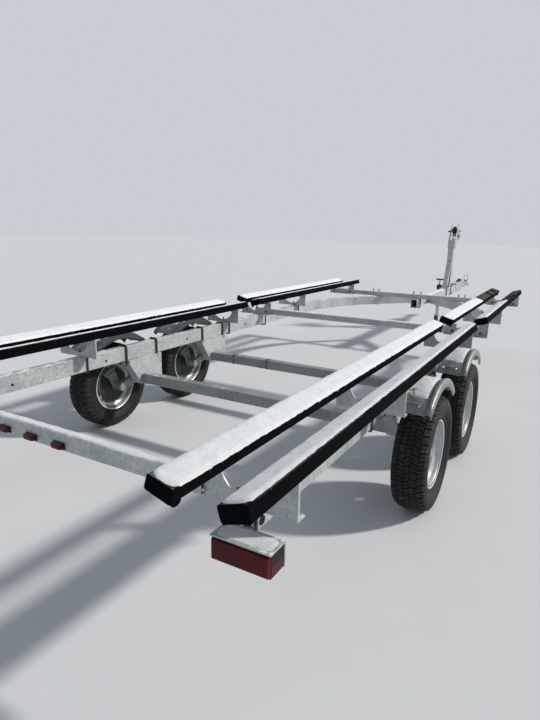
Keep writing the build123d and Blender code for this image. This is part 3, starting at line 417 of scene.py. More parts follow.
def carpet_material(colours):
    # Marine bunk carpet: near-black short loops, dull all over, with a dust of snow where it looks up.
    work = Finish("polypropylene marine carpet")
    tufts = work.noise(26, 5.0, 0.7)
    base = work.ramp(tufts, (0.3, shade(colours.carpet, 0.6)), (0.7, shade(colours.carpet, 1.5)))
    dust = work.maths("MULTIPLY", work.snow(0.5, 0.80, 0.93), work.maths("MULTIPLY", tufts, 0.5))
    work.give("Base Color", work.mix(dust, base, linear("#a9a5a2")))
    work.give("Roughness", 0.97)
    work.give("Specular IOR Level", 0.06)
    work.bump(work.mix(0.5, work.cells(3.2, 0.9, "Distance"), work.noise(7, 6.0, 0.7)), 0.9, 4)
    return work.item


def snow_material(colours):
    # Dry powder snow: near-white and fully rough, with a sparkle of grains, and cool grey painted into its
    # shallow hollows as painted shade.
    work = Finish("dry powder snow")
    grains = work.noise(7, 8.0, 0.85)
    base = work.ramp(work.noise(60, 7.0, 0.7), (0.28, linear("#e3e6ea")), (0.56, tuple(colours.snow)))
    # Painted shade: the low spots of the grain relief are mixed towards cool grey.
    work.give("Base Color", work.mix(work.ramp(grains, (0.32, 0.75), (0.46, 0.0)), base, linear("#9aa0a9")))
    work.give("Roughness", 0.92)
    work.give("Subsurface Weight", 0.15)
    work.give("Subsurface Radius", (0.004, 0.005, 0.006))
    work.bump(grains, 0.95, 7)
    return work.item


def lens_material(colours):
    # Moulded acrylic: deep red with a clear glossy skin, dark stripes at the flutes' pitch painted as shade
    # on one flank of each flute, lightly dusted.
    work = Finish("moulded red acrylic")
    dust = work.noise(22, 7.0, 0.7)
    tone = tuple(colours.lens)
    base = work.ramp(work.noise(60, 4.0), (0.3, shade(tone, 0.45)), (0.7, tone))
    # Painted shade: dark stripes at the flutes' pitch across X.
    across = work.maths("MULTIPLY", work.part(work.place, "X"), tau / (RIB_PITCH * MM))
    ribs = work.ramp(work.maths("SINE", across, 0.0), (0.1, 0.75), (0.7, 0.0))
    flute_shaded = work.mix(ribs, base, shade(tone, 0.16))
    work.give("Base Color", work.mix(work.ramp(dust, (0.62, 0.0), (0.9, 0.14)), flute_shaded, linear("#7a6a6a")))
    work.give("Roughness", work.ramp(dust, (0.4, 0.22), (0.7, 0.5)))
    work.give("Specular IOR Level", 0.25)
    work.bump(dust, 0.04, 1)
    return work.item


# Sizes and colours that a user would change

def colour_choice(name, description, text):
    """A colour that a user would change, with a hexadecimal default."""
    return bpy.props.FloatVectorProperty(
        name=name, description=description, default=linear(text), size=4, min=0.0, max=1.0, subtype="COLOR")


class TrailerColours(bpy.types.PropertyGroup):
    zinc: colour_choice("Zinc", "Main zinc tone", "#bcc3c3")
    zinc_dark: colour_choice("Zinc shade", "Dark zinc tone", "#a5adae")
    zinc_bloom: colour_choice("Zinc bloom", "Chalky zinc tone", "#cbd0cf")
    drip: colour_choice("Drip", "Tone of old water runs", "#7f8482")
    snow: colour_choice("Snow", "Dry snow tone", "#f1f3f5")
    carpet: colour_choice("Carpet", "Bunk carpet tone", "#040508")
    lens: colour_choice("Lens", "Lamp lens tone", "#720719")
    floor: colour_choice("Floor", "Studio floor tone", "#d4d5d6")


class TrailerSizes(bpy.types.PropertyGroup):
    camera_place: bpy.props.FloatVectorProperty(
        name="Camera place", description="Where the camera stands, from the rear axle on the ground",
        default=(1.7426, -2.6478, 1.4190), subtype="XYZ", unit="LENGTH")
    camera_turn: bpy.props.FloatVectorProperty(
        name="Camera turn", description="Camera yaw, pitch down and roll", subtype="EULER", unit="ROTATION",
        default=(radians(30.025), radians(13.799), radians(0.967)))
    lens_mm: bpy.props.FloatProperty(
        name="Lens", description="Focal length on a 36 mm tall sensor", default=26.566)
    snow_depth: bpy.props.FloatProperty(
        name="Snow depth", description="Depth of the snow on the boards", default=0.0075,
        subtype="DISTANCE", unit="LENGTH")
    tread_depth: bpy.props.FloatProperty(
        name="Tread depth", description="Depth of the tyre grooves", default=0.007,
        subtype="DISTANCE", unit="LENGTH")


# The main sizes, in millimetres. Heights are above the ground, and stations are from the rear axle.
BOARD_TOP, BOARD_HALF, BOARD_WIDTH, BOARD_TILT = 790.0, 158.0, 96.0, radians(17)
RAIL_IN, RAIL_OUT, RAIL_TOP, RAIL_LOW = 930.0, 981.0, 612.0, 510.0
REAR_PAIR_X, FRONT_PAIR_X = 977, 994
# The boards: pair, which side of it, first and last station, how far out the pair stands.
BOARDS = (
    ("rear", -1, -1690, 1358, REAR_PAIR_X), ("rear", 1, -1690, 1358, REAR_PAIR_X),
    ("front", -1, 1578, 4160, FRONT_PAIR_X), ("front", 1, 1708, 4160, FRONT_PAIR_X),
)
WHEEL_PLACES = {(axle, side): node_centre(f"tyre_{axle}_{side}") for axle in AXLES for side in SIDES}

# Columns: slot, name, tone, roughness, metallic, grain in mm, spread of the tone, relief, dirt, its amount
# and, on two, the specular level.
WORKED_FINISHES = (
    # A smooth silver paint, the brightest metal low down, under a thin road film.
    ("wheel_steel", "silver-painted pressed steel", "#bcc0c1", 0.36, 0.35, 4.0, 0.08, 0.05, "#8f8d86", 0.4),
    # Dark coarse iron with brown rust in it, which sets the bright cap and nuts off.
    ("hub_cast_iron", "machined and cast iron", "#3d3b39", 0.62, 0.5, 3.0, 0.25, 0.25, "#4a3a2c", 0.7),
    # A dull dark ring behind the windows, with a first bloom of rust.
    ("brake_disc", "ground brake disc with surface rust", "#3a3938",
     0.5, 0.6, 3.0, 0.25, 0.2, "#33261d", 0.3),
    # Deep black rubber with a soft sheen on the side wall and dust in its hollows.
    ("tyre_rubber", "carbon-black tyre rubber", "#08090a", 0.66, 0.0, 7.0, 0.25, 0.35, "#1f1d1a", 0.1, 0.35),
    # Flat black moulding with hardly a shine, so the lenses stand out.
    ("black_plastic", "moulded black plastic", "#060607", 0.5, 0.0, 2.0, 0.15, 0.08, "#1d1d1f", 0.1, 0.3),
    # An even satin coat with the fine pebble of baked powder.
    ("black_paint", "black powder coat on steel", "#131416", 0.42, 0.0, 2.0, 0.2, 0.15, "#3a3b3d", 0.3),
    # Small bright hardware that glints against the dull galvanising.
    ("zinc_plate", "bright zinc-plated steel", "#b4b7b8", 0.28, 0.85, 5.0, 0.12, 0.05, "#6c6a63", 0.25),
    # Grainy cast skin, lighter on its edges and grubby in its hollows.
    ("cast_zinc", "zinc-coated cast steel", "#9ea2a2", 0.46, 0.45, 3.0, 0.12, 0.3, "#6f6b62", 0.35),
    # Zinc U-bolts and bolts toned dark as painted shade, which read as thin dark lines round the tubes.
    ("dull_zinc", "zinc hardware with painted shade", "#45484a", 0.5, 0.6, 4.0, 0.25, 0.15, "#57452f", 0.25),
    # Matt rubber with pale scuffs, softer to the eye than the plastic.
    ("black_rubber", "moulded black rubber", "#121314", 0.7, 0.0, 3.0, 0.2, 0.15, "#4a4b4c", 0.2),
)


class TRAILER_OT_finishes(bpy.types.Operator):
    """Make the materials and give them to the frame's own nodes"""
    bl_idname = "trailer.finishes"
    bl_label = "Frame finishes"

    def execute(self, context):
        colours = context.scene.trailer_colours
        FINISHES.update({
            "galvanised_steel": galvanised_material(colours, "hot-dip galvanised steel"),
            # Painted shade and painted reflection: the fender sheet's zinc tones are darkened to half, for a
            # shaded panel mirroring a dark sky.
            "fender_steel": galvanised_material(colours, "galvanised fender sheet with painted shade", 0.25, 0.80, 0.99, 0.5),
            # Painted shade: the axle beam's and torsion arms' zinc tones are darkened to six tenths, for
            # their faces in shade.
            "shaded_steel": galvanised_material(colours, "galvanised tube with painted shade", 0.2, 0.7, 0.95, 0.6),
            "tyre_tread": tread_material(),
            "bunk_carpet": carpet_material(colours),
            "red_lens": lens_material(colours),
            "snow": snow_material(colours),
        })
        FINISHES.update({slot: worked_finish(*settings) for slot, *settings in WORKED_FINISHES})
        shaded = ("axle_beam", "torsion_arms")
        for row in frame["record"]["subparts"]:
            name = row["node"]
            mesh = node_object(name).data
            mesh.materials.clear()
            slot = "shaded_steel" if name.startswith(shaded) else row["material_slot"]
            mesh.materials.append(FINISHES[slot])
        return {"FINISHED"}


# Snow that lies on the boards and tubes

SNOW_COLUMNS = 13
# In metres: over what length a strip narrows at its ends, and how far its edge sinks below the face.
END_TAPER, EDGE_DROP = 0.02, 0.0015
# How much of the right front boards is bare at the front, in millimetres.
BARE_FRONT = 1150
# The snow's humps: share, size in millimetres and seed.
HUMPS = ((0.3, 70, 0), (0.2, 17, 3), (0.16, 8, 5))
FOLD_STEPS, FOLD_PITCH, FOLD_DROP = 8, 5.5, 11


def on_board(pair_x, sign, across, down=0.0):
    """The x and z of a place on a board's section, from how far across its face it is and how far below."""
    x = pair_x + sign * (BOARD_HALF - cos(BOARD_TILT) * across + sin(BOARD_TILT) * down)
    return x, BOARD_TOP - sin(BOARD_TILT) * across - cos(BOARD_TILT) * down


def snow_strip(shape, first, last, across, width, depth, seed, bare=0.0, step=8.0):
    """A thin ragged layer along a line of places, across a direction, that thins out towards its edges."""
    along = last - first
    normal = across.cross(along).normalized()
    normal = normal if normal.z > 0 else -normal
    count = max(int(along.length / (step * MM)), 6)
    rows = []
    for i in range(count + 1):
        t = i / count
        middle = first + along * t
        ends = min(1.0, min(t, 1 - t) * along.length / END_TAPER)
        wobble = [wave(middle, 22, seed + s) * 3.0 + wave(middle, 7, seed + 5 + s) * 2.2 for s in (0.0, 9.0)]
        half = width / 2 * (0.35 + 0.65 * ends ** 0.5)
        row = []
        for j in range(SNOW_COLUMNS):
            u = j / (SNOW_COLUMNS - 1)
            place = middle + across * (-half + u * 2 * half + wobble[0] * (1 - u) + wobble[1] * u) * MM
            rim = min(u, 1 - u) * (SNOW_COLUMNS - 1)
            rise = sin(min(1.0, rim / 2.2) * pi / 2) * sqrt(ends)
            hump = 0.82 + sum(share * wave(place, size, seed + s) for share, size, s in HUMPS)
            thin = max(0.0, wave(place, 130, seed + 7) - 0.25) * bare
            row.append(place + normal * ((hump * rise - thin) * depth - (1 - rise) * EDGE_DROP))
        rows.append(row)
    shape.grid(rows)
    shape.grid([[p - normal * depth * 0.9 for p in (row[0], row[-1])] for row in rows])


def carpet_fold(shape, turn, sign, pair_x, end, way):
    """A rolled fold of carpet along the low edge of a board, near its end."""
    across = Vector((turn * sign * cos(BOARD_TILT), 0, sin(BOARD_TILT)))
    x, z = on_board(pair_x, sign, BOARD_WIDTH - 3, 52)
    roll = ((9, 0), (3, 0.1), (-0.5, 0.55), (-3, 1), (0.5, 1.0), (3, 0.6), (9, 0.25))
    rows = []
    for i in range(FOLD_STEPS + 1):
        drop = FOLD_DROP * sin(pi * i / FOLD_STEPS) ** 0.6 + 2 * wave((i, end, sign), 1400)
        spot = at(turn * x, end + way * (2 + i * FOLD_PITCH), z)
        rows.append([spot + (across * a + UP * (0.5 - drop * b)) * MM for a, b in roll])
    shape.grid(rows)


class TRAILER_OT_snow(bpy.types.Operator):
    """Lay the thin snow on the boards and the cross tubes, and fold the carpet under the boards' ends"""
    bl_idname = "trailer.snow"
    bl_label = "Snow and carpet folds"

    def execute(self, context):
        depth = context.scene.trailer_sizes.snow_depth
        folds = Shape()
        for row, (pair, sign, start, end, pair_x) in enumerate(BOARDS):
            x, z = on_board(pair_x, sign, BOARD_WIDTH / 2)
            for side, turn in SIDES.items():
                shape = Shape()
                across = Vector((turn * sign * cos(BOARD_TILT), 0, sin(BOARD_TILT)))
                bare = BARE_FRONT if side == "right" and pair == "front" else 0
                snow_strip(shape, at(turn * x, start + 2, z), at(turn * x, end - 2 - bare, z), across,
                           BOARD_WIDTH - 3, depth, row * 3.1 + turn)
                piece(f"snow_{pair}_{'outer' if sign > 0 else 'inner'}_{side}", shape, "snow", angle=60)
                carpet_fold(folds, turn, sign, pair_x, start, 1)
                carpet_fold(folds, turn, sign, pair_x, end, -1)
        piece("carpet_folds", folds, "bunk_carpet", angle=60)
        shape = Shape()
        for seed, name in enumerate(("light_bar", "crossmember_mid", "crossmember_front")):
            low, high = node_box(name)
            y = (low.y + high.y) / 2
            snow_strip(shape, Vector((low.x + 0.01, y, high.z)), Vector((high.x - 0.01, y, high.z)),
                       AHEAD, (high.y - low.y) / MM - 8, depth * 0.8, 20 + seed, 1.6)
        low, high = node_box("tongue_tube")
        snow_strip(shape, Vector((0, low.y + 0.15, high.z)), Vector((0, high.y - 0.8, high.z)), RIGHT, 66,
                   depth * 0.7, 31, 1.6)
        for side, turn in SIDES.items():
            low, high = node_box(f"lamp_guard_{side}")
            far, y = high.x if turn > 0 else low.x, low.y + 0.043
            first, last = (Vector((far - turn * inset, y, high.z)) for inset in (0.198, 0.004))
            snow_strip(shape, first, last, AHEAD, 74, depth * 0.3, 40 + turn, 0.8, 6.0)
        piece("snow_on_tubes", shape, "snow", angle=60)
        return {"FINISHED"}


# Wheels. Profiles are (how far out, radius) points in millimetres.

TYRE_R = 305.0
# The tread's rows: from, to, and by how much of a pitch each one leads.
TREAD_ROWS = ((-78, -50, 0.0), (-45, -17, 0.35), (-12, 12, 0.7), (17, 45, 0.35), (50, 78, 0.0))
TREAD_PITCHES = 46
TREAD_SKEW = 0.010
# Each block is cut in two by a sipe.
SIPED = ((0.0, 0.46), (0.52, 1.0))
# A block's share of the pitch, on the shoulders and between them.
SHOULDER_BLOCK, MIDDLE_BLOCK = 0.76, 0.82
CROWN_DROP = 15.0
SHOULDER_LUG = ((77.5, 289.5), (82.5, 281), (86.0, 270), (87.4, 262))
SIDE_WALL = [
    (63.5, 165.5), (63.6, 180), (66, 186), (71, 190), (73, 198), (71.5, 203), (76, 210), (79.5, 216),
    (79.0, 218), (81.5, 220), (83.5, 226), (83.0, 228), (85.0, 230), (87.0, 240), (87.8, 250), (87.2, 262),
    (84.5, 274), (80, 283),
]
INNER_LINER = [(-60, 172), (-70, 215), (-60, 280), (0, 290), (60, 280), (70, 215), (60, 172)]
RIM_BARREL = [
    (24, 138.8), (27, 139), (37, 160), (41, 162), (50, 162.4), (58, 163.6), (62, 166.5), (63.8, 171),
    (64.4, 177), (66.0, 179.6), (67, 181), (63.8, 181), (62.6, 177), (62, 171), (60, 167.5), (56, 165.6),
    (38, 165), (34, 162), (25, 142),
]
# The pressed disc's face: radius, how far out.
DISH = ((33, 0), (74, 0), (79, 1.5), (90, 13), (95, 17), (99, 18), (104, 16.5), (134, -5.5), (139, -9))
DISH_SHEET = 4.5
WINDOWS, WINDOW_RING, WINDOW_RADIUS, WINDOW_REACH = 8, 116.0, 13.0, 18.5
VALVE_RADIUS, VALVE_ANGLE = 150, 0.4
STUD_CIRCLE = 57.15
HUB_CORE = [(-45, 24), (-44, 50), (-16, 52), (-15.6, 72), (-14, 74), (-6, 74), (-5.2, 73), (-5.2, 31)]
BRAKE_DISC = [
    (-45, 44), (-45, 118.5), (-43.5, 120), (-41, 120), (-40.6, 116), (-38.4, 116), (-38, 120), (-35.5, 120),
    (-34, 118.5), (-34, 78), (-32.5, 76), (-32.5, 52), (-30, 50),
]
GREASE_CAP = [
    (-5, 31), (14, 31), (16, 32.2), (19, 32.2), (20.5, 30.4), (38, 29.5), (43, 27.5), (46.5, 22), (47.8, 13),
    (47.8, 9), (46.4, 8),
]


def crown(x):
    """The tread's radius at a place across the tyre."""
    return TYRE_R - CROWN_DROP * (abs(x) / 80) ** 3.2


def tyre_shapes(place, axis, depth):
    """The carcass with its side walls, and the tread's blocks and shoulder lugs."""
    carcass, tread = Shape(), Shape()
    across = [(x, crown(x) - depth) for x in (76, 64, 47.5, 32, 14.5, 0, -14.5, -32, -47.5, -64, -76)]
    carcass.turned(place, axis, SIDE_WALL + across + mirrored(SIDE_WALL) + INNER_LINER, 120, capped=False)
    on = around(place, axis)
    pitch = tau / TREAD_PITCHES
    for row, (x0, x1, lead) in enumerate(TREAD_ROWS):
        shoulder = row in (0, len(TREAD_ROWS) - 1)
        length = pitch * (SHOULDER_BLOCK if shoulder else MIDDLE_BLOCK)
        skew = TREAD_SKEW if row % 2 else -TREAD_SKEW
        middle = (x0 + x1) / 2
        for start in turns(TREAD_PITCHES, lead):
            for first, last in SIPED:
                a0, a1 = start + length * first, start + length * last
                corners = ((x0, a0 - skew), (x1, a0 + skew), (x1, a1 + skew), (x0, a1 - skew))
                rings = [[on(x, crown(x) - sink, a) for x, a in corners] for sink in (depth + 1, 1.6)]
                mid_a = (a0 + a1) / 2
                rings.append([on(middle + (x - middle) * 0.90, crown(x), mid_a + (a - mid_a) * 0.88)
                              for x, a in corners])
                tread.grid(rings, close_columns=True)
                tread.cap(4)
        if not shoulder:
            continue
        turn = 1 if x0 > 0 else -1
        for start in turns(TREAD_PITCHES, 0.04):
            end = start + pitch * 0.6
            # The lug's two edges sink into the side wall.
            tread.grid([[on(turn * (x - sink), r - sink / 4, a) for x, r in SHOULDER_LUG]
                        for a, sink in ((start, 4), (start, 0), (end, 0), (end, 4))])
    return carcass, tread


def dish_at(radius):
    """How far out the wheel's disc stands at a radius."""
    for (r0, x0), (r1, x1) in zip(DISH, DISH[1:]):
        if radius <= r1:
            return x0 + (x1 - x0) * max(0.0, (radius - r0) / (r1 - r0))
    return DISH[-1][1]


def window_rings(turn):
    """A window's round edge, the square field round it and a ring between, as (radius, angle) points."""
    field, hole = [], []
    for angle in turns(32):
        c, s = cos(angle), sin(angle)
        scale = 1 / max(abs(c), abs(s))
        field.append((WINDOW_RING + WINDOW_REACH * c * scale, turn + pi / WINDOWS * s * scale))
        x, y = WINDOW_RING + WINDOW_RADIUS * c, WINDOW_RADIUS * s
        hole.append((hypot(x, y), turn + atan2(y, x)))
    between = [((a[0] + b[0]) / 2, (a[1] + b[1]) / 2) for a, b in zip(field, hole)]
    return field, between, hole


def rim_shape(place, axis):
    """The rolled barrel, the dished disc with its windows, and the valve stem."""
    rim = Shape()
    rim.turned(place, axis, RIM_BARREL + mirrored(RIM_BARREL), 96, capped=False)
    for radii in ((34, 60, 74, 79, 90, 95, 98), (134.5, 137, 139.5)):
        rim.turned(place, axis, pressed([(dish_at(r), r) for r in radii], DISH_SHEET), 96, capped=False)
    on = around(place, axis)
    for turn in turns(WINDOWS):
        rings = window_rings(turn)
        rows = [[on(dish_at(r), r, a) for r, a in ring] for ring in rings]
        rows += [[on(dish_at(r) - DISH_SHEET, r, a) for r, a in ring] for ring in rings[::-1]]
        rim.grid(rows, close_columns=True)
    lean = on(1, -0.3, VALVE_ANGLE) - place
    rim.turned(on(30, VALVE_RADIUS, VALVE_ANGLE), lean,
               ((0, 5.5), (8, 5), (9, 3.6), (24, 3.6), (24.5, 4.6), (33, 4.6), (34, 3.8)), 12)
    return rim


def hub_shapes(place, axis):
    """The hub's casting, its brake disc, and the bright grease cap with the studs and nuts."""
    core, disc, bright = Shape(), Shape(), Shape()
    core.turned(place, axis, HUB_CORE, 48)
    disc.turned(place, axis, BRAKE_DISC, 72)
    bright.turned(place, axis, GREASE_CAP, 40)
    bright.turned(place, axis, ((44, 8.2), (47.2, 7.6), (47.9, 5), (48, 1)), 20)
    stud = [(15.5 + i * 0.75, 6.4 if i % 2 else 5.9) for i in range(8)] + [(21.0, 5.0)]
    on = around(place, axis)
    nut = ((0, 9.5), (4.5, 11.5), (5, 12.2), (14.5, 12.2), (16.2, 10.4))
    for k, angle in enumerate(turns(5, 0.5)):
        spot = on(0, STUD_CIRCLE, angle)
        bright.turned(spot, axis, nut, 6, spin=k * 0.3)
        bright.turned(spot, axis, stud, 12)
    return core, disc, bright


class TRAILER_OT_wheels(bpy.types.Operator):
    """Build the treaded tyres, the pressed rims and the hubs with their discs, studs and nuts"""
    bl_idname = "trailer.wheels"
    bl_label = "Wheels"

    def execute(self, context):
        depth = context.scene.trailer_sizes.tread_depth / MM
        for (axle, side), place in WHEEL_PLACES.items():
            axis = RIGHT * SIDES[side]
            tag = f"{axle}_{side}"
            carcass, tread = tyre_shapes(place, axis, depth)
            core, disc, bright = hub_shapes(place, axis)
            for name, shape, finish, node in (
                    ("tyre_carcass", carcass, "tyre_rubber", "tyre"),
                    ("tyre_tread", tread, "tyre_tread", "tyre"),
                    ("pressed_rim", rim_shape(place, axis), "wheel_steel", "rim"),
                    ("hub_casting", core, "hub_cast_iron", "hub"), ("brake_disc", disc, "brake_disc", "hub"),
                    ("hub_cap_and_nuts", bright, "zinc_plate", "hub")):
                piece(f"{name}_{tag}", shape, finish, f"wheel_{tag}", (f"{node}_{tag}",))
        return {"FINISHED"}


# Fenders

FENDER_R, FENDER_IN, FENDER_OUT = 390.0, 1000.0, 1228.0
FENDER_FIRST, FENDER_LAST, FENDER_FOLD = radians(-43), radians(45), radians(10)
FOLD_RIDGE = 0.012
# The skin's section: how far out from the inner skirt, how far above the fender's radius.
INNER_SECTION = (
    (0, -42), (0, -20), (0.3, -7), (2, -2), (6, 0), (20, 0), (24, 2), (28, 6), (33, 7.5), (38, 7.5), (43, 6),
    (47, 2), (51, 0), (80, 0.5), (110, 1), (140, 0),
)
# The same for its rolled outer edge: how far in from the outer edge, how far above the radius.
ROLLED_EDGE = (
    (58, -2), (44, -5), (37, -6), (32, -3), (28, 2.2), (22, 6.4), (15, 7.8), (8, 6), (3, 1), (0.6, -6),
    (0.3, -16), (0.6, -27), (2, -34), (5, -38), (9, -39), (12, -36),
)
FROST_ROWS, FROST_COLUMNS, FROST_REACH = 56, 28, 28


def over_wheel(x, axle_y, radius, angle):
    """A place over a wheel, at an angle ahead of its top."""
    return at(x, axle_y + radius * sin(angle), TYRE_R + radius * cos(angle))


def fender_skin(shape, turn, axle_y):
    section = [(FENDER_IN + x, r) for x, r in INNER_SECTION] + [(FENDER_OUT - x, r) for x, r in ROLLED_EDGE]
    reach = FENDER_LAST - FENDER_FIRST - 2 * FENDER_FOLD
    arc = [FENDER_FIRST + FENDER_FOLD + reach * k / 36 for k in range(37)]
    # Each row's angle and rise. Where an end folds down there is a crease with a ridge beside it.
    rows = [(FENDER_FIRST, 0), (arc[0] - FOLD_RIDGE, 0.6), (arc[0], -1.5)]
    rows += [(angle, 0) for angle in arc[1:-1]]
    rows += [(arc[-1], -1.5), (arc[-1] + FOLD_RIDGE, 0.6), (FENDER_LAST, 0)]
    shape.grid([[over_wheel(turn * x, axle_y, FENDER_R + r + rise, angle) for x, r in section]
                for angle, rise in rows])


def fender_mounts(brackets, bolts, turn, axle_y):
    """The folded brackets from the rail and their bolts, and the bolts through the skin."""
    rail, skirt = RAIL_OUT + 0.2, FENDER_IN
    for end in (-1, 1):
        y = axle_y + end * 225
        top = TYRE_R + sqrt((FENDER_R - 1) ** 2 - 245 ** 2) - 3
        for x, ahead, low, high in ((rail, 20, 60, 54), (rail, -14, 56, 0), (skirt - 4, 20, 60, 0)):
            brackets.block(at(turn * x, y - 20, top - low), at(turn * skirt, y + ahead, top - high))
        for dy in (-9, 9):
            bolts.bolt(at(turn * skirt, y + dy, top - 22), (-turn, 0, 0), 7)
        angle = end * radians(36.5)
        for x, size in ((1014, 8), (1082, 10.5), (1158, 7)):
            out = Vector((0, sin(angle), cos(angle)))
            bolts.bolt(over_wheel(turn * x, axle_y, FENDER_R - 1, angle), out, size)


def fender_frost(shape, turn, axle_y):
    """Grains of snow on the crown, thickest on top. Where the layer dips, it goes under the skin."""
    rows = []
    for i in range(FROST_ROWS + 1):
        angle = radians(-FROST_REACH + 54 * i / FROST_ROWS)
        thin = abs(angle) / radians(FROST_REACH)
        row = []
        for j in range(FROST_COLUMNS + 1):
            x = turn * (1010 + 176 * j / FROST_COLUMNS)
            place = over_wheel(x, axle_y, FENDER_R, angle)
            rim = min(1.0, min(i, FROST_ROWS - i, j, FROST_COLUMNS - j) / 1.5)
            grain = 0.5 + sum(share * wave(place, size, seed)
                              for share, size, seed in ((1.1, 14, 2.0), (0.9, 6.5, 4.0), (0.5, 60, 6.0)))
            rise = (3.4 * (1 - thin ** 1.3) - 0.7 + 1.7 * grain) * rim - (1 - rim) * 3
            row.append(over_wheel(x, axle_y, FENDER_R + max(-1.2, min(4.5, rise + 0.3)), angle))
        rows.append(row)
    shape.grid(rows)


class TRAILER_OT_fenders(bpy.types.Operator):
    """Build the rolled fenders with their end folds, brackets, bolts and frost"""
    bl_idname = "trailer.fenders"
    bl_label = "Fenders"

    def execute(self, context):
        for side, turn in SIDES.items():
            skin, brackets, bolts, frost = Shape(), Shape(), Shape(), Shape()
            for axle in AXLES:
                axle_y = station(WHEEL_PLACES[axle, side])
                fender_skin(skin, turn, axle_y)
                fender_mounts(brackets, bolts, turn, axle_y)
                fender_frost(frost, turn, axle_y)
            node = (f"fenders_{side}",)
            piece(f"fender_snow_{side}", frost, "snow", angle=60)
            piece(f"fender_skin_{side}", skin, "fender_steel", replaces=node, sheet=2.0, angle=28)
            piece(f"fender_brackets_{side}", brackets, "galvanised_steel", replaces=node, bevel=1.2)
            piece(f"fender_bolts_{side}", bolts, "zinc_plate")
        return {"FINISHED"}


# Bolts, clamps and plugs

SADDLES = (
    (REAR_PAIR_X, -1436, 1), (REAR_PAIR_X, -400, 1), (REAR_PAIR_X, 1200, 1),
    (FRONT_PAIR_X, 1806, -1), (FRONT_PAIR_X, 2550, 1), (FRONT_PAIR_X, 3984, -1),
)
BEAM_Y, BEAM_Z, TIE_REACH = 976, 355, 37.4
PIPE_Y, PIPE_Z, PIPE_RADIUS = 1016, 362, 2.4
TIES = (364, 686)


def clamp(shape, x0, x1, y, bend, tip, seat, radius):
    """A U-bolt round a tube, in millimetres: its bend, and two threaded legs with nuts on their seats."""
    path = [at(x0, y, tip), at(x0, y, bend), at(x1, y, bend), at(x1, y, tip)]
    shape.bar(rounded(path, 16), radius, 12)
    way = 1 if tip > bend else -1
    # A thread shows every 2.2 mm past the nut.
    threads = abs(tip - seat) * 10 // 22 - 5
    for x in (x0, x1):
        shape.bolt(at(x, y, seat), (0, 0, way), radius * 1.75)
        for k in range(threads):
            ring = ((0, radius), (1.0, radius + 0.7), (2.0, radius))
            shape.turned(at(x, y, seat + way * (16 + k * 2.2)), (0, 0, way), ring, 12)


def brake_line(ties, pipe):
    """The brake pipe ahead of the front beam, its ties round the beam and its loops up to the rails."""
    corners = ((0, 1), (1, 1), (1, -1), (-1, -1), (-1, 1), (0.05, 1))
    for turn in SIDES.values():
        for x in TIES:
            ring = [at(turn * x, BEAM_Y + dy * TIE_REACH, BEAM_Z + dz * TIE_REACH) for dy, dz in corners]
            ties.bar(rounded(ring, 6, 3), 2.1, 8)
            ties.block(at(turn * x - 4, 944, 391), at(turn * x + 4, 952, 399))
            sleeve = ((0, PIPE_RADIUS), (2, 4.5), (16, 4.5), (18, PIPE_RADIUS))
            pipe.turned(at(turn * x - 9, PIPE_Y, PIPE_Z), RIGHT, sleeve, 12)
        loop = ((700, PIPE_Y, PIPE_Z), (880, PIPE_Y, PIPE_Z), (905, 1060, 380), (905, 1164, 395),
                (905, 1172, 470), (912, 1160, 500), (918, 1130, 506))
        pipe.bar(rounded([at(turn * x, y, z) for x, y, z in loop], 18, 6), PIPE_RADIUS, 8)
    pipe.bar([at(x, PIPE_Y, PIPE_Z) for x in (-700, -350, 0, 350, 700)], PIPE_RADIUS, 8)


class TRAILER_OT_hardware(bpy.types.Operator):
    """Fit the U-bolts and bolts of the frame, the plugs in the rails and the brake pipe"""
    bl_idname = "trailer.hardware"
    bl_label = "Bolts and clamps"

    def execute(self, context):
        clamps, bolts, plugs, ties, pipe = (Shape() for _ in range(5))
        inner, outer = RAIL_IN - 7, RAIL_OUT + 7
        # U-bolts on each side: from, to, stations, the bend's height, the tips', the nuts' and the radius.
        for x0, x1, stations, *heights in (
                (inner, outer, (-31, 275, 836, 1124), RAIL_TOP + 7, 478, 504, 7),
                (inner, outer, (-1409, -373, 1230, 2577), RAIL_LOW - 6, 648, 618, 5.5),
                (905, 1006, (1831,), 502, 690, 663, 6), (495, 569, (4010,), 502, 696, 663, 6)):
            for turn in SIDES.values():
                for y in stations:
                    clamp(clamps, turn * x0, turn * x1, y, *heights)
        clamp(clamps, -46, 46, 4010, 502, 696, 663, 6)
        for y in (5474, 5757):
            clamp(clamps, -45, 45, y, 503, 652, 620, 5.5)
        for turn in SIDES.values():
            inward = (-turn, 0, 0)
            foot_x = (FRONT_PAIR_X - 110, FRONT_PAIR_X + 110)
            bolts.bolts(-AHEAD, 10, [(turn * x, y, 640) for x in foot_x for y in (1800, 3978)])
            bolts.bolts(inward, 8, [(turn * RAIL_IN, -1410, 552)])
            bolts.bolts(UP, 9, [(turn * 50, y, 620) for y in (5530, 5700)])
            for pair_x, y, facing in SADDLES:
                for sign in (-1, 1):
                    x, z = on_board(pair_x, sign, BOARD_WIDTH / 2, 59)
                    down = (turn * sign * sin(BOARD_TILT), 0, -cos(BOARD_TILT))
                    bolts.bolts(down, 6, [(turn * x, y + facing * dy, z) for dy in (14, 34)])
            plugs.turned(at(turn * RAIL_OUT, -1363, 537), (turn, 0, 0),
                         ((0, 17), (2.5, 16), (3.2, 13.5), (3.4, 9), (1.4, 7.5)), 28)
            for y, z in ((-214, 547), (639, 554), (-900, 550), (1500, 552)):
                small_plug = ((0, 8.5), (1.2, 8), (1.4, 6.5), (0.6, 5.5))
                plugs.turned(at(turn * RAIL_IN, y, z), inward, small_plug, 20)
        brake_line(ties, pipe)
        piece("cable_ties", ties, "black_plastic")
        piece("brake_tube", pipe, "zinc_plate")
        piece("clamp_bolts", clamps, "dull_zinc")
        piece("flange_bolts", bolts, "dull_zinc")
        piece("rail_plugs", plugs, "black_plastic")
        return {"FINISHED"}


# Lamps

RIB_PITCH = 8.2
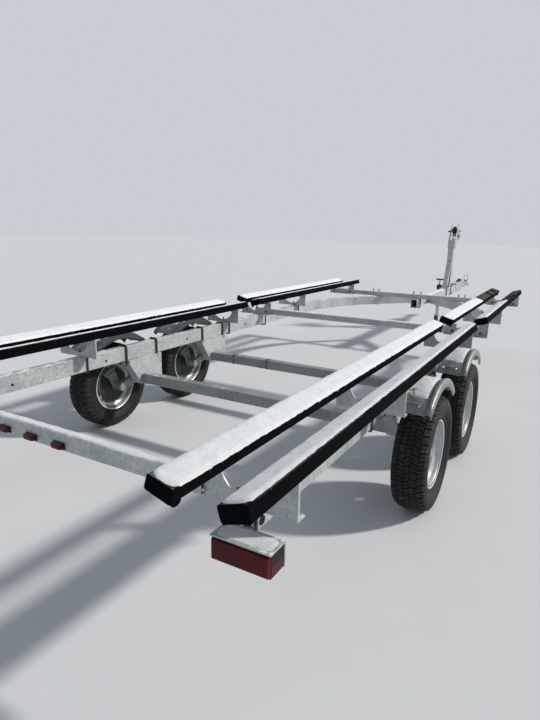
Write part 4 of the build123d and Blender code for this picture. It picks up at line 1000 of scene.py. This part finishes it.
# In metres: the lens's foot behind the lamp's face, how far it stands out, its flutes and its inset.
LENS_FOOT, LENS_BULGE, FLUTE_DEPTH, LENS_INSET = 0.013, 0.0106, 0.0022, 0.0006
REFLECTOR_HEIGHT, REFLECTOR_RISE, FACET_DEPTH = 0.039, 0.0015, 0.0004
LENS_ROWS, LENS_COLUMNS = 12, 184
REFLECTOR_ROWS, REFLECTOR_COLUMNS = 8, 40
MARKER_SPACING, MARKER_Y, MARKER_Z = 158, -1451, 633.5
MARKER_ROWS, MARKER_SIDES = 12, 48
# Half the lens's width and height in millimetres, and the power that squares its outline.
MARKER_HALF_WIDTH, MARKER_HALF_HEIGHT, MARKER_SQUARE = 29.5, 11.5, 0.38


def tail_lens(shape, low, high):
    """The lens over the whole rear face, with upright flutes and a rounded rim."""
    rows = []
    for j in range(LENS_ROWS + 1):
        z = low.z + 2 * LENS_INSET + j / LENS_ROWS * (high.z - low.z - 4 * LENS_INSET)
        row = []
        for i in range(LENS_COLUMNS + 1):
            x = low.x + LENS_INSET + i / LENS_COLUMNS * (high.x - low.x - 2 * LENS_INSET)
            dome = sqrt(min(1.0, j, LENS_ROWS - j) * min(1.0, i / 3, (LENS_COLUMNS - i) / 3))
            flute = 0.5 + 0.5 * cos(tau * x / (RIB_PITCH * MM))
            row.append(Vector((x, low.y + LENS_FOOT - dome * (LENS_BULGE + FLUTE_DEPTH * flute), z)))
        rows.append(row)
    shape.grid(rows)


def side_reflector(shape, low, high, turn):
    """The reflector on the lamp's outer end: a low plate with a chequer of tiny facets."""
    edge = high.x if turn > 0 else low.x
    near, far = low.y + 0.0125, high.y - 0.004
    rows = []
    for j in range(REFLECTOR_ROWS + 1):
        z = low.z + 0.001 + REFLECTOR_HEIGHT * j / REFLECTOR_ROWS
        rim = min(1.0, j, REFLECTOR_ROWS - j)
        row = []
        for i in range(REFLECTOR_COLUMNS + 1):
            rise = REFLECTOR_RISE * min(1.0, min(i, REFLECTOR_COLUMNS - i) / 2) + FACET_DEPTH * ((i + j) % 2)
            y = near + (far - near) * i / REFLECTOR_COLUMNS
            row.append(Vector((edge + turn * (rise * rim - FACET_DEPTH), y, z)))
        rows.append(row)
    shape.grid(rows)


def marker_lens(shape, middle):
    """A marker lamp's lens: a rounded oblong dome with fine ribs on its sides."""
    rows = []
    for j in range(MARKER_ROWS + 1):
        t = j / MARKER_ROWS
        shrink = 1 - t ** 4 * 0.35 if j < MARKER_ROWS else 0.55
        ring = []
        for i, angle in enumerate(turns(MARKER_SIDES)):
            c, s = cos(angle), sin(angle)
            x = copysign(MARKER_HALF_WIDTH * abs(c) ** MARKER_SQUARE, c)
            z = copysign(MARKER_HALF_HEIGHT * abs(s) ** MARKER_SQUARE, s)
            rib = 0.5 * (i % 2)
            ring.append(middle + Vector((x * shrink, -(4 + 17.5 * t ** 0.6 - rib), z * shrink)) * MM)
        rows.append(ring)
    shape.grid(rows, close_columns=True)
    shape.cap(MARKER_SIDES)


class TRAILER_OT_lamps(bpy.types.Operator):
    """Build the ribbed rear lamps in their black housings and the three marker lamps"""
    bl_idname = "trailer.lamps"
    bl_label = "Lamps"

    def execute(self, context):
        for side, turn in SIDES.items():
            node = (f"tail_lamp_{side}",)
            low, high = node_box(*node)
            housing, lens, reflector = Shape(), Shape(), Shape()
            housing.block(low + AHEAD * 0.012, high)
            tail_lens(lens, low, high)
            side_reflector(reflector, low, high, turn)
            piece(f"lamp_housing_{side}", housing, "black_plastic", replaces=node, bevel=1.6)
            piece(f"lamp_lens_{side}", lens, "red_lens", replaces=node, angle=50)
            piece(f"side_reflector_{side}", reflector, "red_lens", angle=20)
        bases, lenses = Shape(), Shape()
        for k in (-1, 0, 1):
            middle = at(k * MARKER_SPACING, MARKER_Y, MARKER_Z)
            bases.block(middle + Vector((-0.032, -0.005, -0.0135)), middle + Vector((0.032, 0, 0.0135)))
            marker_lens(lenses, middle)
        piece("marker_bases", bases, "black_plastic", replaces=("marker_lamps",), bevel=2.5)
        piece("marker_lenses", lenses, "red_lens", replaces=("marker_lamps",), angle=45)
        return {"FINISHED"}


# Winch stand. Places are (station, height) or (across, station, height).

ROLLER = (5850, 1452)
DRUM = (5955, 1385)
CRANK = (6000, 1435)
GEAR_COVER_X = 62
CRANK_GRIP_Y = 6158
ROLLER_HALF = [(-28, 13), (-28, 33), (-26.5, 36), (-20, 46), (-15, 52.5), (-11, 55.3), (-7, 56)]
PAWL = ((5962, 1448), (5972, 1441), (5990, 1452), (5996, 1468), (5988, 1474), (5976, 1462))
SPOOL_HALF = [(-30.2, 36.5), (-29, 38), (-27.6, 38), (-27, 36), (-26.6, 24), (-24, 22)]


class TRAILER_OT_winch(bpy.types.Operator):
    """Build the bow roller, the drum, the gear cover's ribs, the pawl and the grip, and fit the bolts"""
    bl_idname = "trailer.winch"
    bl_label = "Winch and roller"

    def execute(self, context):
        roller, drum, bolts, cover, pawl, grip, nut = (Shape() for _ in range(7))
        roller.turned(at(0, *ROLLER), RIGHT, ROLLER_HALF + mirrored(ROLLER_HALF), 64, capped=False)
        spool = [(-47, 0.5), (-47, 9), (-30.5, 9), *SPOOL_HALF]
        spool += [*mirrored(SPOOL_HALF), (30.5, 10), (47, 10), (47, 0.5)]
        drum.turned(at(0, *DRUM), RIGHT, spool, 48)
        bolts.outward_bolts(9, [(48.5, *ROLLER)], tail=5)
        bolts.outward_bolts(8, [(48, y, z) for y in (5720, 5760) for z in (1212, 1270)])
        bolts.bolts(UP, 7, [(x, y, 1321) for x in (-30, 30) for y in (5930, 6020)])
        screws = ((5925, 1400), (5985, 1370), (6012, 1452), (5940, 1355))
        bolts.bolts(RIGHT, 5, [(GEAR_COVER_X, *screw) for screw in screws])
        bolts.bolts(RIGHT, 9, [(GEAR_COVER_X, *DRUM)])
        bolts.bolts(-AHEAD, 9, [(0, 5684, z) for z in (950, 1150)])
        for (y, z), r in ((DRUM, 40), (CRANK, 19)):
            ribs = ((-1, r), (0.5, r), (1.6, r - 1.2), (1.6, r - 4), (0.3, r - 5.5), (0.3, r * 0.5),
                    (1.8, r * 0.45), (1.8, 9.5))
            cover.turned(at(GEAR_COVER_X, y, z), RIGHT, ribs, 48)
        for k in range(5):
            angle = radians(20 + 72 * k)
            y, z = DRUM[0] + 28 * cos(angle), DRUM[1] + 28 * sin(angle)
            cover.turned(at(GEAR_COVER_X, y, z), RIGHT, ((0, 3.2), (1.6, 3.0), (2.2, 1.8)), 12)
        pawl.plate(PAWL, -41, -45)
        pawl.bolts(-RIGHT, 5, [(-45, 5984, 1462)])
        rings = [(7, 8), (9, 13.2), (13, 15)]
        for along in range(16, 88, 9):
            rings += [(along, 15.2), (along + 5, 15.2), (along + 6, 14.2), (along + 8, 14.2)]
        rings += [(90, 15.4), (94, 14.5), (96, 11), (96.5, 4)]
        grip.turned(at(-60, CRANK_GRIP_Y, CRANK[1]), -RIGHT, rings, 24)
        nut.bolts(-RIGHT, 11, [(-66, *CRANK)], tail=4)
        piece("bow_roller_rubber", roller, "black_rubber", "bow_roller", ("bow_roller",))
        piece("drum_spool", drum, "zinc_plate", "winch_drum", ("winch_drum",))
        piece("gear_case_ribs", cover, "zinc_plate")
        piece("winch_pawl", pawl, "zinc_plate")
        piece("winch_stand_bolts", bolts, "zinc_plate")
        piece("winch_grip", grip, "black_rubber", "winch_crank")
        piece("crank_nut", nut, "zinc_plate", "winch_crank")
        return {"FINISHED"}


# Jack, reservoir and coupler

JACK_X, JACK_Y = -150, 5850
# Heights of the tube's lower end and its cap, of the cap's screws and of the crank's bar.
TUBE_END_Z, TUBE_CAP_Z, CAP_SCREWS_Z, CRANK_BAR_Z = 300, 628, (592, 612), 712
BALL_Y, BALL_RIM_Z = 7196, 522
CASTER_TYRE_HALF = [(-20, 46), (-20, 60), (-19.2, 70), (-16, 74.5), (-11, 76), (-4, 76), (-3.4, 74.4)]
CASTER_HUB_HALF = [(-20, 6.2), (-20, 20), (-13, 24), (-9, 30), (-9, 40), (-14, 47)]
# Sections of the sliding bar and neck: station, half width, lowest and highest, corner radius.
NECK = (
    (6240, 36, 512, 635, 4), (6243, 37.6, 510.6, 636.4, 5), (6586, 37.6, 510.6, 636.4, 5),
    (6590, 36, 512, 634, 6), (6604, 32, 524, 600, 8), (6640, 31.5, 524.5, 598, 8),
    (6800, 28, 530, 594, 9), (7050, 27.5, 530, 594, 9),
    (7110, 31, 525, 598, 9), (7150, 32, 524, 598, 9), (7180, 30, 526, 594, 10),
)
CORNER_STEPS = 7
BALL_DOME = (
    (40, 0.5), (40, 20), (31, 25.6), (3, 26.2), (0, 28), (0, 42.5), (1.5, 44), (9, 44), (11, 41.5), (46, 41),
    (58, 39), (69, 33), (77, 23), (81, 12), (82, 0.5),
)
LATCH_LUG = ((7128, 588), (7186, 588), (7170, 622), (7160, 630), (7120, 630), (7112, 622))
SIDE_RIB = (
    (6650, 552), (7080, 552), (7084, 556), (7084, 568), (7080, 572), (6650, 572), (6646, 568), (6646, 556),
)


def jack_pieces():
    centre = node_centre("jack_wheel")
    tyre, hub, collar, nuts, grips = (Shape() for _ in range(5))
    tyre.turned(centre, RIGHT, CASTER_TYRE_HALF + mirrored(CASTER_TYRE_HALF), 64, capped=False)
    hub.turned(centre, RIGHT, CASTER_HUB_HALF + mirrored(CASTER_HUB_HALF), 48, capped=False)
    on = around(centre, RIGHT)
    for angle in turns(6):
        hub.bar([on(-11.5, 35, angle), on(11.5, 35, angle)], 4.5, 10)
    collar.turned(at(JACK_X, JACK_Y, TUBE_END_Z), -UP,
                  ((-24, 31.5), (-22, 33), (-3, 33), (0, 32), (0, 26.2), (-24, 26.2)), 40, capped=False)
    collar.turned(at(JACK_X, JACK_Y, TUBE_CAP_Z), UP, ((0, 24), (4, 24), (6, 21), (7, 12), (7, 7.3)), 32)
    grip = [(0, 9), (1.5, 12), *((3 + k * 4, 12.2 if k % 2 else 11.2) for k in range(10))]
    grip += [(42, 11), (43.5, 7), (43.6, 2)]
    collar.outward_bolts(5, [(34, JACK_Y, z) for z in CAP_SCREWS_Z], JACK_X)
    for turn in (-1, 1):
        collar.bolts((0, turn, 0), 5, [(JACK_X, JACK_Y + turn * 34, z) for z in CAP_SCREWS_Z])
        nuts.bolt(centre + RIGHT * turn * 30.2 * MM, (turn, 0, 0), 8.5, tail=5)
        grips.turned(at(JACK_X + turn * 14, JACK_Y, CRANK_BAR_Z), (turn, 0, 0), grip, 20)
    piece("caster_tyre", tyre, "black_rubber", "jack_wheel", ("jack_wheel",))
    piece("caster_hub", hub, "black_plastic", "jack_wheel", ("jack_wheel",))
    piece("jack_collar", collar, "black_paint", "jack")
    piece("caster_axle_nuts", nuts, "zinc_plate", "jack_caster")
    piece("jack_grips", grips, "black_rubber", "jack_crank")


def coupler_pieces():
    casting, heads = Shape(), Shape()
    rows = []
    for y, half, low, high, corner in NECK:
        x, z0, z1 = half - corner, low + corner, high - corner
        rows.append([at(cx + corner * cos(a), y, cz + corner * sin(a))
                     for cx, cz, first in ((x, z1, 0), (-x, z1, 90), (-x, z0, 180), (x, z0, 270))
                     for a in (radians(first + 15 * k) for k in range(CORNER_STEPS))])
    casting.grid(rows, close_columns=True)
    casting.cap(4 * CORNER_STEPS, 0)
    casting.cap(4 * CORNER_STEPS)
    casting.turned(at(0, BALL_Y, BALL_RIM_Z), UP, BALL_DOME, 64)
    for turn in (-1, 1):
        casting.plate(LATCH_LUG, *sorted((turn * 15, turn * 21)))
        casting.plate(SIDE_RIB, turn * 27, turn * 30.5)
    heads.outward_bolts(8, ((30, 7100, 561), (30.5, 6700, 562), (30.5, 6900, 562)))
    piece("coupler_casting", casting, "cast_zinc", "coupler", ("coupler",), bevel=1.0)
    piece("coupler_bolts", heads, "zinc_plate", "coupler")


class TRAILER_OT_front(bpy.types.Operator):
    """Fit the jack's wheel, collars and grips, the reservoir's cap, the coupler's casting and their bolts"""
    bl_idname = "trailer.front"
    bl_label = "Jack and coupler"

    def execute(self, context):
        jack_pieces()
        bolts, cap = Shape(), Shape()
        bolts.outward_bolts(8, [(43, y, z) for y, z in ((6150, 540), (6150, 585), (6560, 530), (6330, 520))])
        bolts.bolts(-RIGHT, 8, [(-46, y, z) for y in (5805, 5895) for z in (535, 590)])
        bolts.bolts(UP, 8, [(0, y, 620) for y in (5815, 5835)])
        piece("front_bolts", bolts, "zinc_plate")
        low, high = node_box("brake_reservoir")
        rings = [(22, 23.2), (24, 24), *((25 + k, 24) for k in range(10)), (37, 22), (38.5, 14), (38.8, 4)]
        cap.turned(Vector((0, (low.y + high.y) / 2, low.z)), UP, rings, 40)
        piece("reservoir_cap", cap, "black_plastic")
        coupler_pieces()
        return {"FINISHED"}


# Stage

FLOOR_REACH = 60.0
SUN_FROM, SUN_STRENGTH, SUN_SPREAD = Vector((0.70, 0.48, 0.53)), 3.5, radians(4)
SUN_TONE, SKY_TONE, SKY_STRENGTH = (1.0, 0.96, 0.90), (0.78, 0.87, 1.0, 1.0), 0.42
SENSOR_MM = 36.0


def studio_world():
    """Soft cool light from all round, and a plain backdrop where the camera or a reflection sees it."""
    world = bpy.data.worlds.new("studio")
    world.use_nodes = True
    tree = world.node_tree
    tree.nodes.clear()
    path = add(tree, "ShaderNodeLightPath").outputs
    seen = path["Is Camera Ray"]
    for ray in ("Is Glossy Ray", "Is Transmission Ray"):
        settings = {"operation": "ADD", "use_clamp": True}
        seen = add(tree, "ShaderNodeMath", settings, {0: seen, 1: path[ray]}).outputs[0]
    light = add(tree, "ShaderNodeBackground", {"Color": SKY_TONE, "Strength": SKY_STRENGTH})
    backdrop = add(tree, "ShaderNodeBackground", {"Color": linear("#c9ced4"), "Strength": 1.0})
    both = add(tree, "ShaderNodeMixShader", links={0: seen, 1: light.outputs[0], 2: backdrop.outputs[0]})
    add(tree, "ShaderNodeOutputWorld", links={"Surface": both.outputs[0]})
    return world


def floor_material(colours):
    # Matt pale studio floor: one calm tone with a very faint mottle, so that the shadows read.
    work = Finish("matt studio floor")
    tone = tuple(colours.floor)
    work.give("Base Color", work.ramp(work.noise(900, 4.0), (0.3, shade(tone, 0.96)), (0.7, tone)))
    work.give("Roughness", 0.95)
    return work.item


class TRAILER_OT_stage(bpy.types.Operator):
    """Make the pale floor, the soft studio light and the camera"""
    bl_idname = "trailer.stage"
    bl_label = "Stage, light and camera"

    def execute(self, context):
        scene = context.scene
        sizes = scene.trailer_sizes
        mesh = bpy.data.meshes.new("studio_floor")
        corners = [(x * FLOOR_REACH, y * FLOOR_REACH, 0) for x, y in ((-1, -1), (1, -1), (1, 1), (-1, 1))]
        mesh.from_pydata(corners, [], [(0, 1, 2, 3)])
        mesh.materials.append(floor_material(scene.trailer_colours))
        floor = bpy.data.objects.new("studio_floor", mesh)
        scene.collection.objects.link(floor)
        scene.world = studio_world()

        light = bpy.data.lights.new("key_light", "SUN")
        light.energy = SUN_STRENGTH
        light.angle = SUN_SPREAD
        light.color = SUN_TONE
        sun = bpy.data.objects.new("key_light", light)
        sun.rotation_mode = "QUATERNION"
        sun.rotation_quaternion = SUN_FROM.to_track_quat("Z", "Y")
        scene.collection.objects.link(sun)

        yaw, pitch, roll = sizes.camera_turn
        right = Vector((cos(yaw), sin(yaw), 0.0))
        forward = UP.cross(right) * cos(pitch) - UP * sin(pitch)
        up = right.cross(forward)
        level = right * cos(roll) + up * sin(roll)
        upright = up * cos(roll) - right * sin(roll)
        lens = bpy.data.cameras.new("camera")
        lens.sensor_fit = "VERTICAL"
        lens.sensor_width = lens.sensor_height = SENSOR_MM
        lens.lens = sizes.lens_mm
        lens.clip_start, lens.clip_end = 0.05, 200.0
        camera = bpy.data.objects.new("camera", lens)
        spot = Vector(sizes.camera_place) + AHEAD * REAR_AXLE_Y
        rotation = Matrix((level, upright, -forward)).transposed()
        camera.matrix_world = Matrix.Translation(spot) @ rotation.to_4x4()
        scene.collection.objects.link(camera)
        scene.camera = camera
        scene.view_settings.view_transform = "Standard"
        return {"FINISHED"}


class TRAILER_PT_panel(bpy.types.Panel):
    bl_idname = "TRAILER_PT_panel"
    bl_label = "Boat trailer"
    bl_space_type = "VIEW_3D"
    bl_region_type = "UI"
    bl_category = "Trailer"

    def draw(self, context):
        for group in (context.scene.trailer_sizes, context.scene.trailer_colours):
            for name in group.bl_rna.properties.keys():
                if name not in ("rna_type", "name"):
                    self.layout.prop(group, name)
        for step in STEPS:
            self.layout.operator(step.bl_idname)


STEPS = (TRAILER_OT_finishes, TRAILER_OT_snow, TRAILER_OT_wheels, TRAILER_OT_fenders, TRAILER_OT_hardware,
         TRAILER_OT_lamps, TRAILER_OT_winch, TRAILER_OT_front, TRAILER_OT_stage)
CLASSES = (TrailerColours, TrailerSizes, *STEPS, TRAILER_PT_panel)


def register():
    for item in CLASSES:
        bpy.utils.register_class(item)
    bpy.types.Scene.trailer_colours = bpy.props.PointerProperty(type=TrailerColours)
    bpy.types.Scene.trailer_sizes = bpy.props.PointerProperty(type=TrailerSizes)


def unregister():
    del bpy.types.Scene.trailer_sizes
    del bpy.types.Scene.trailer_colours
    for item in reversed(CLASSES):
        bpy.utils.unregister_class(item)


def main():
    register()
    for step in STEPS:
        group, name = step.bl_idname.split(".")
        getattr(getattr(bpy.ops, group), name)()


if __name__ == "__main__":
    main()
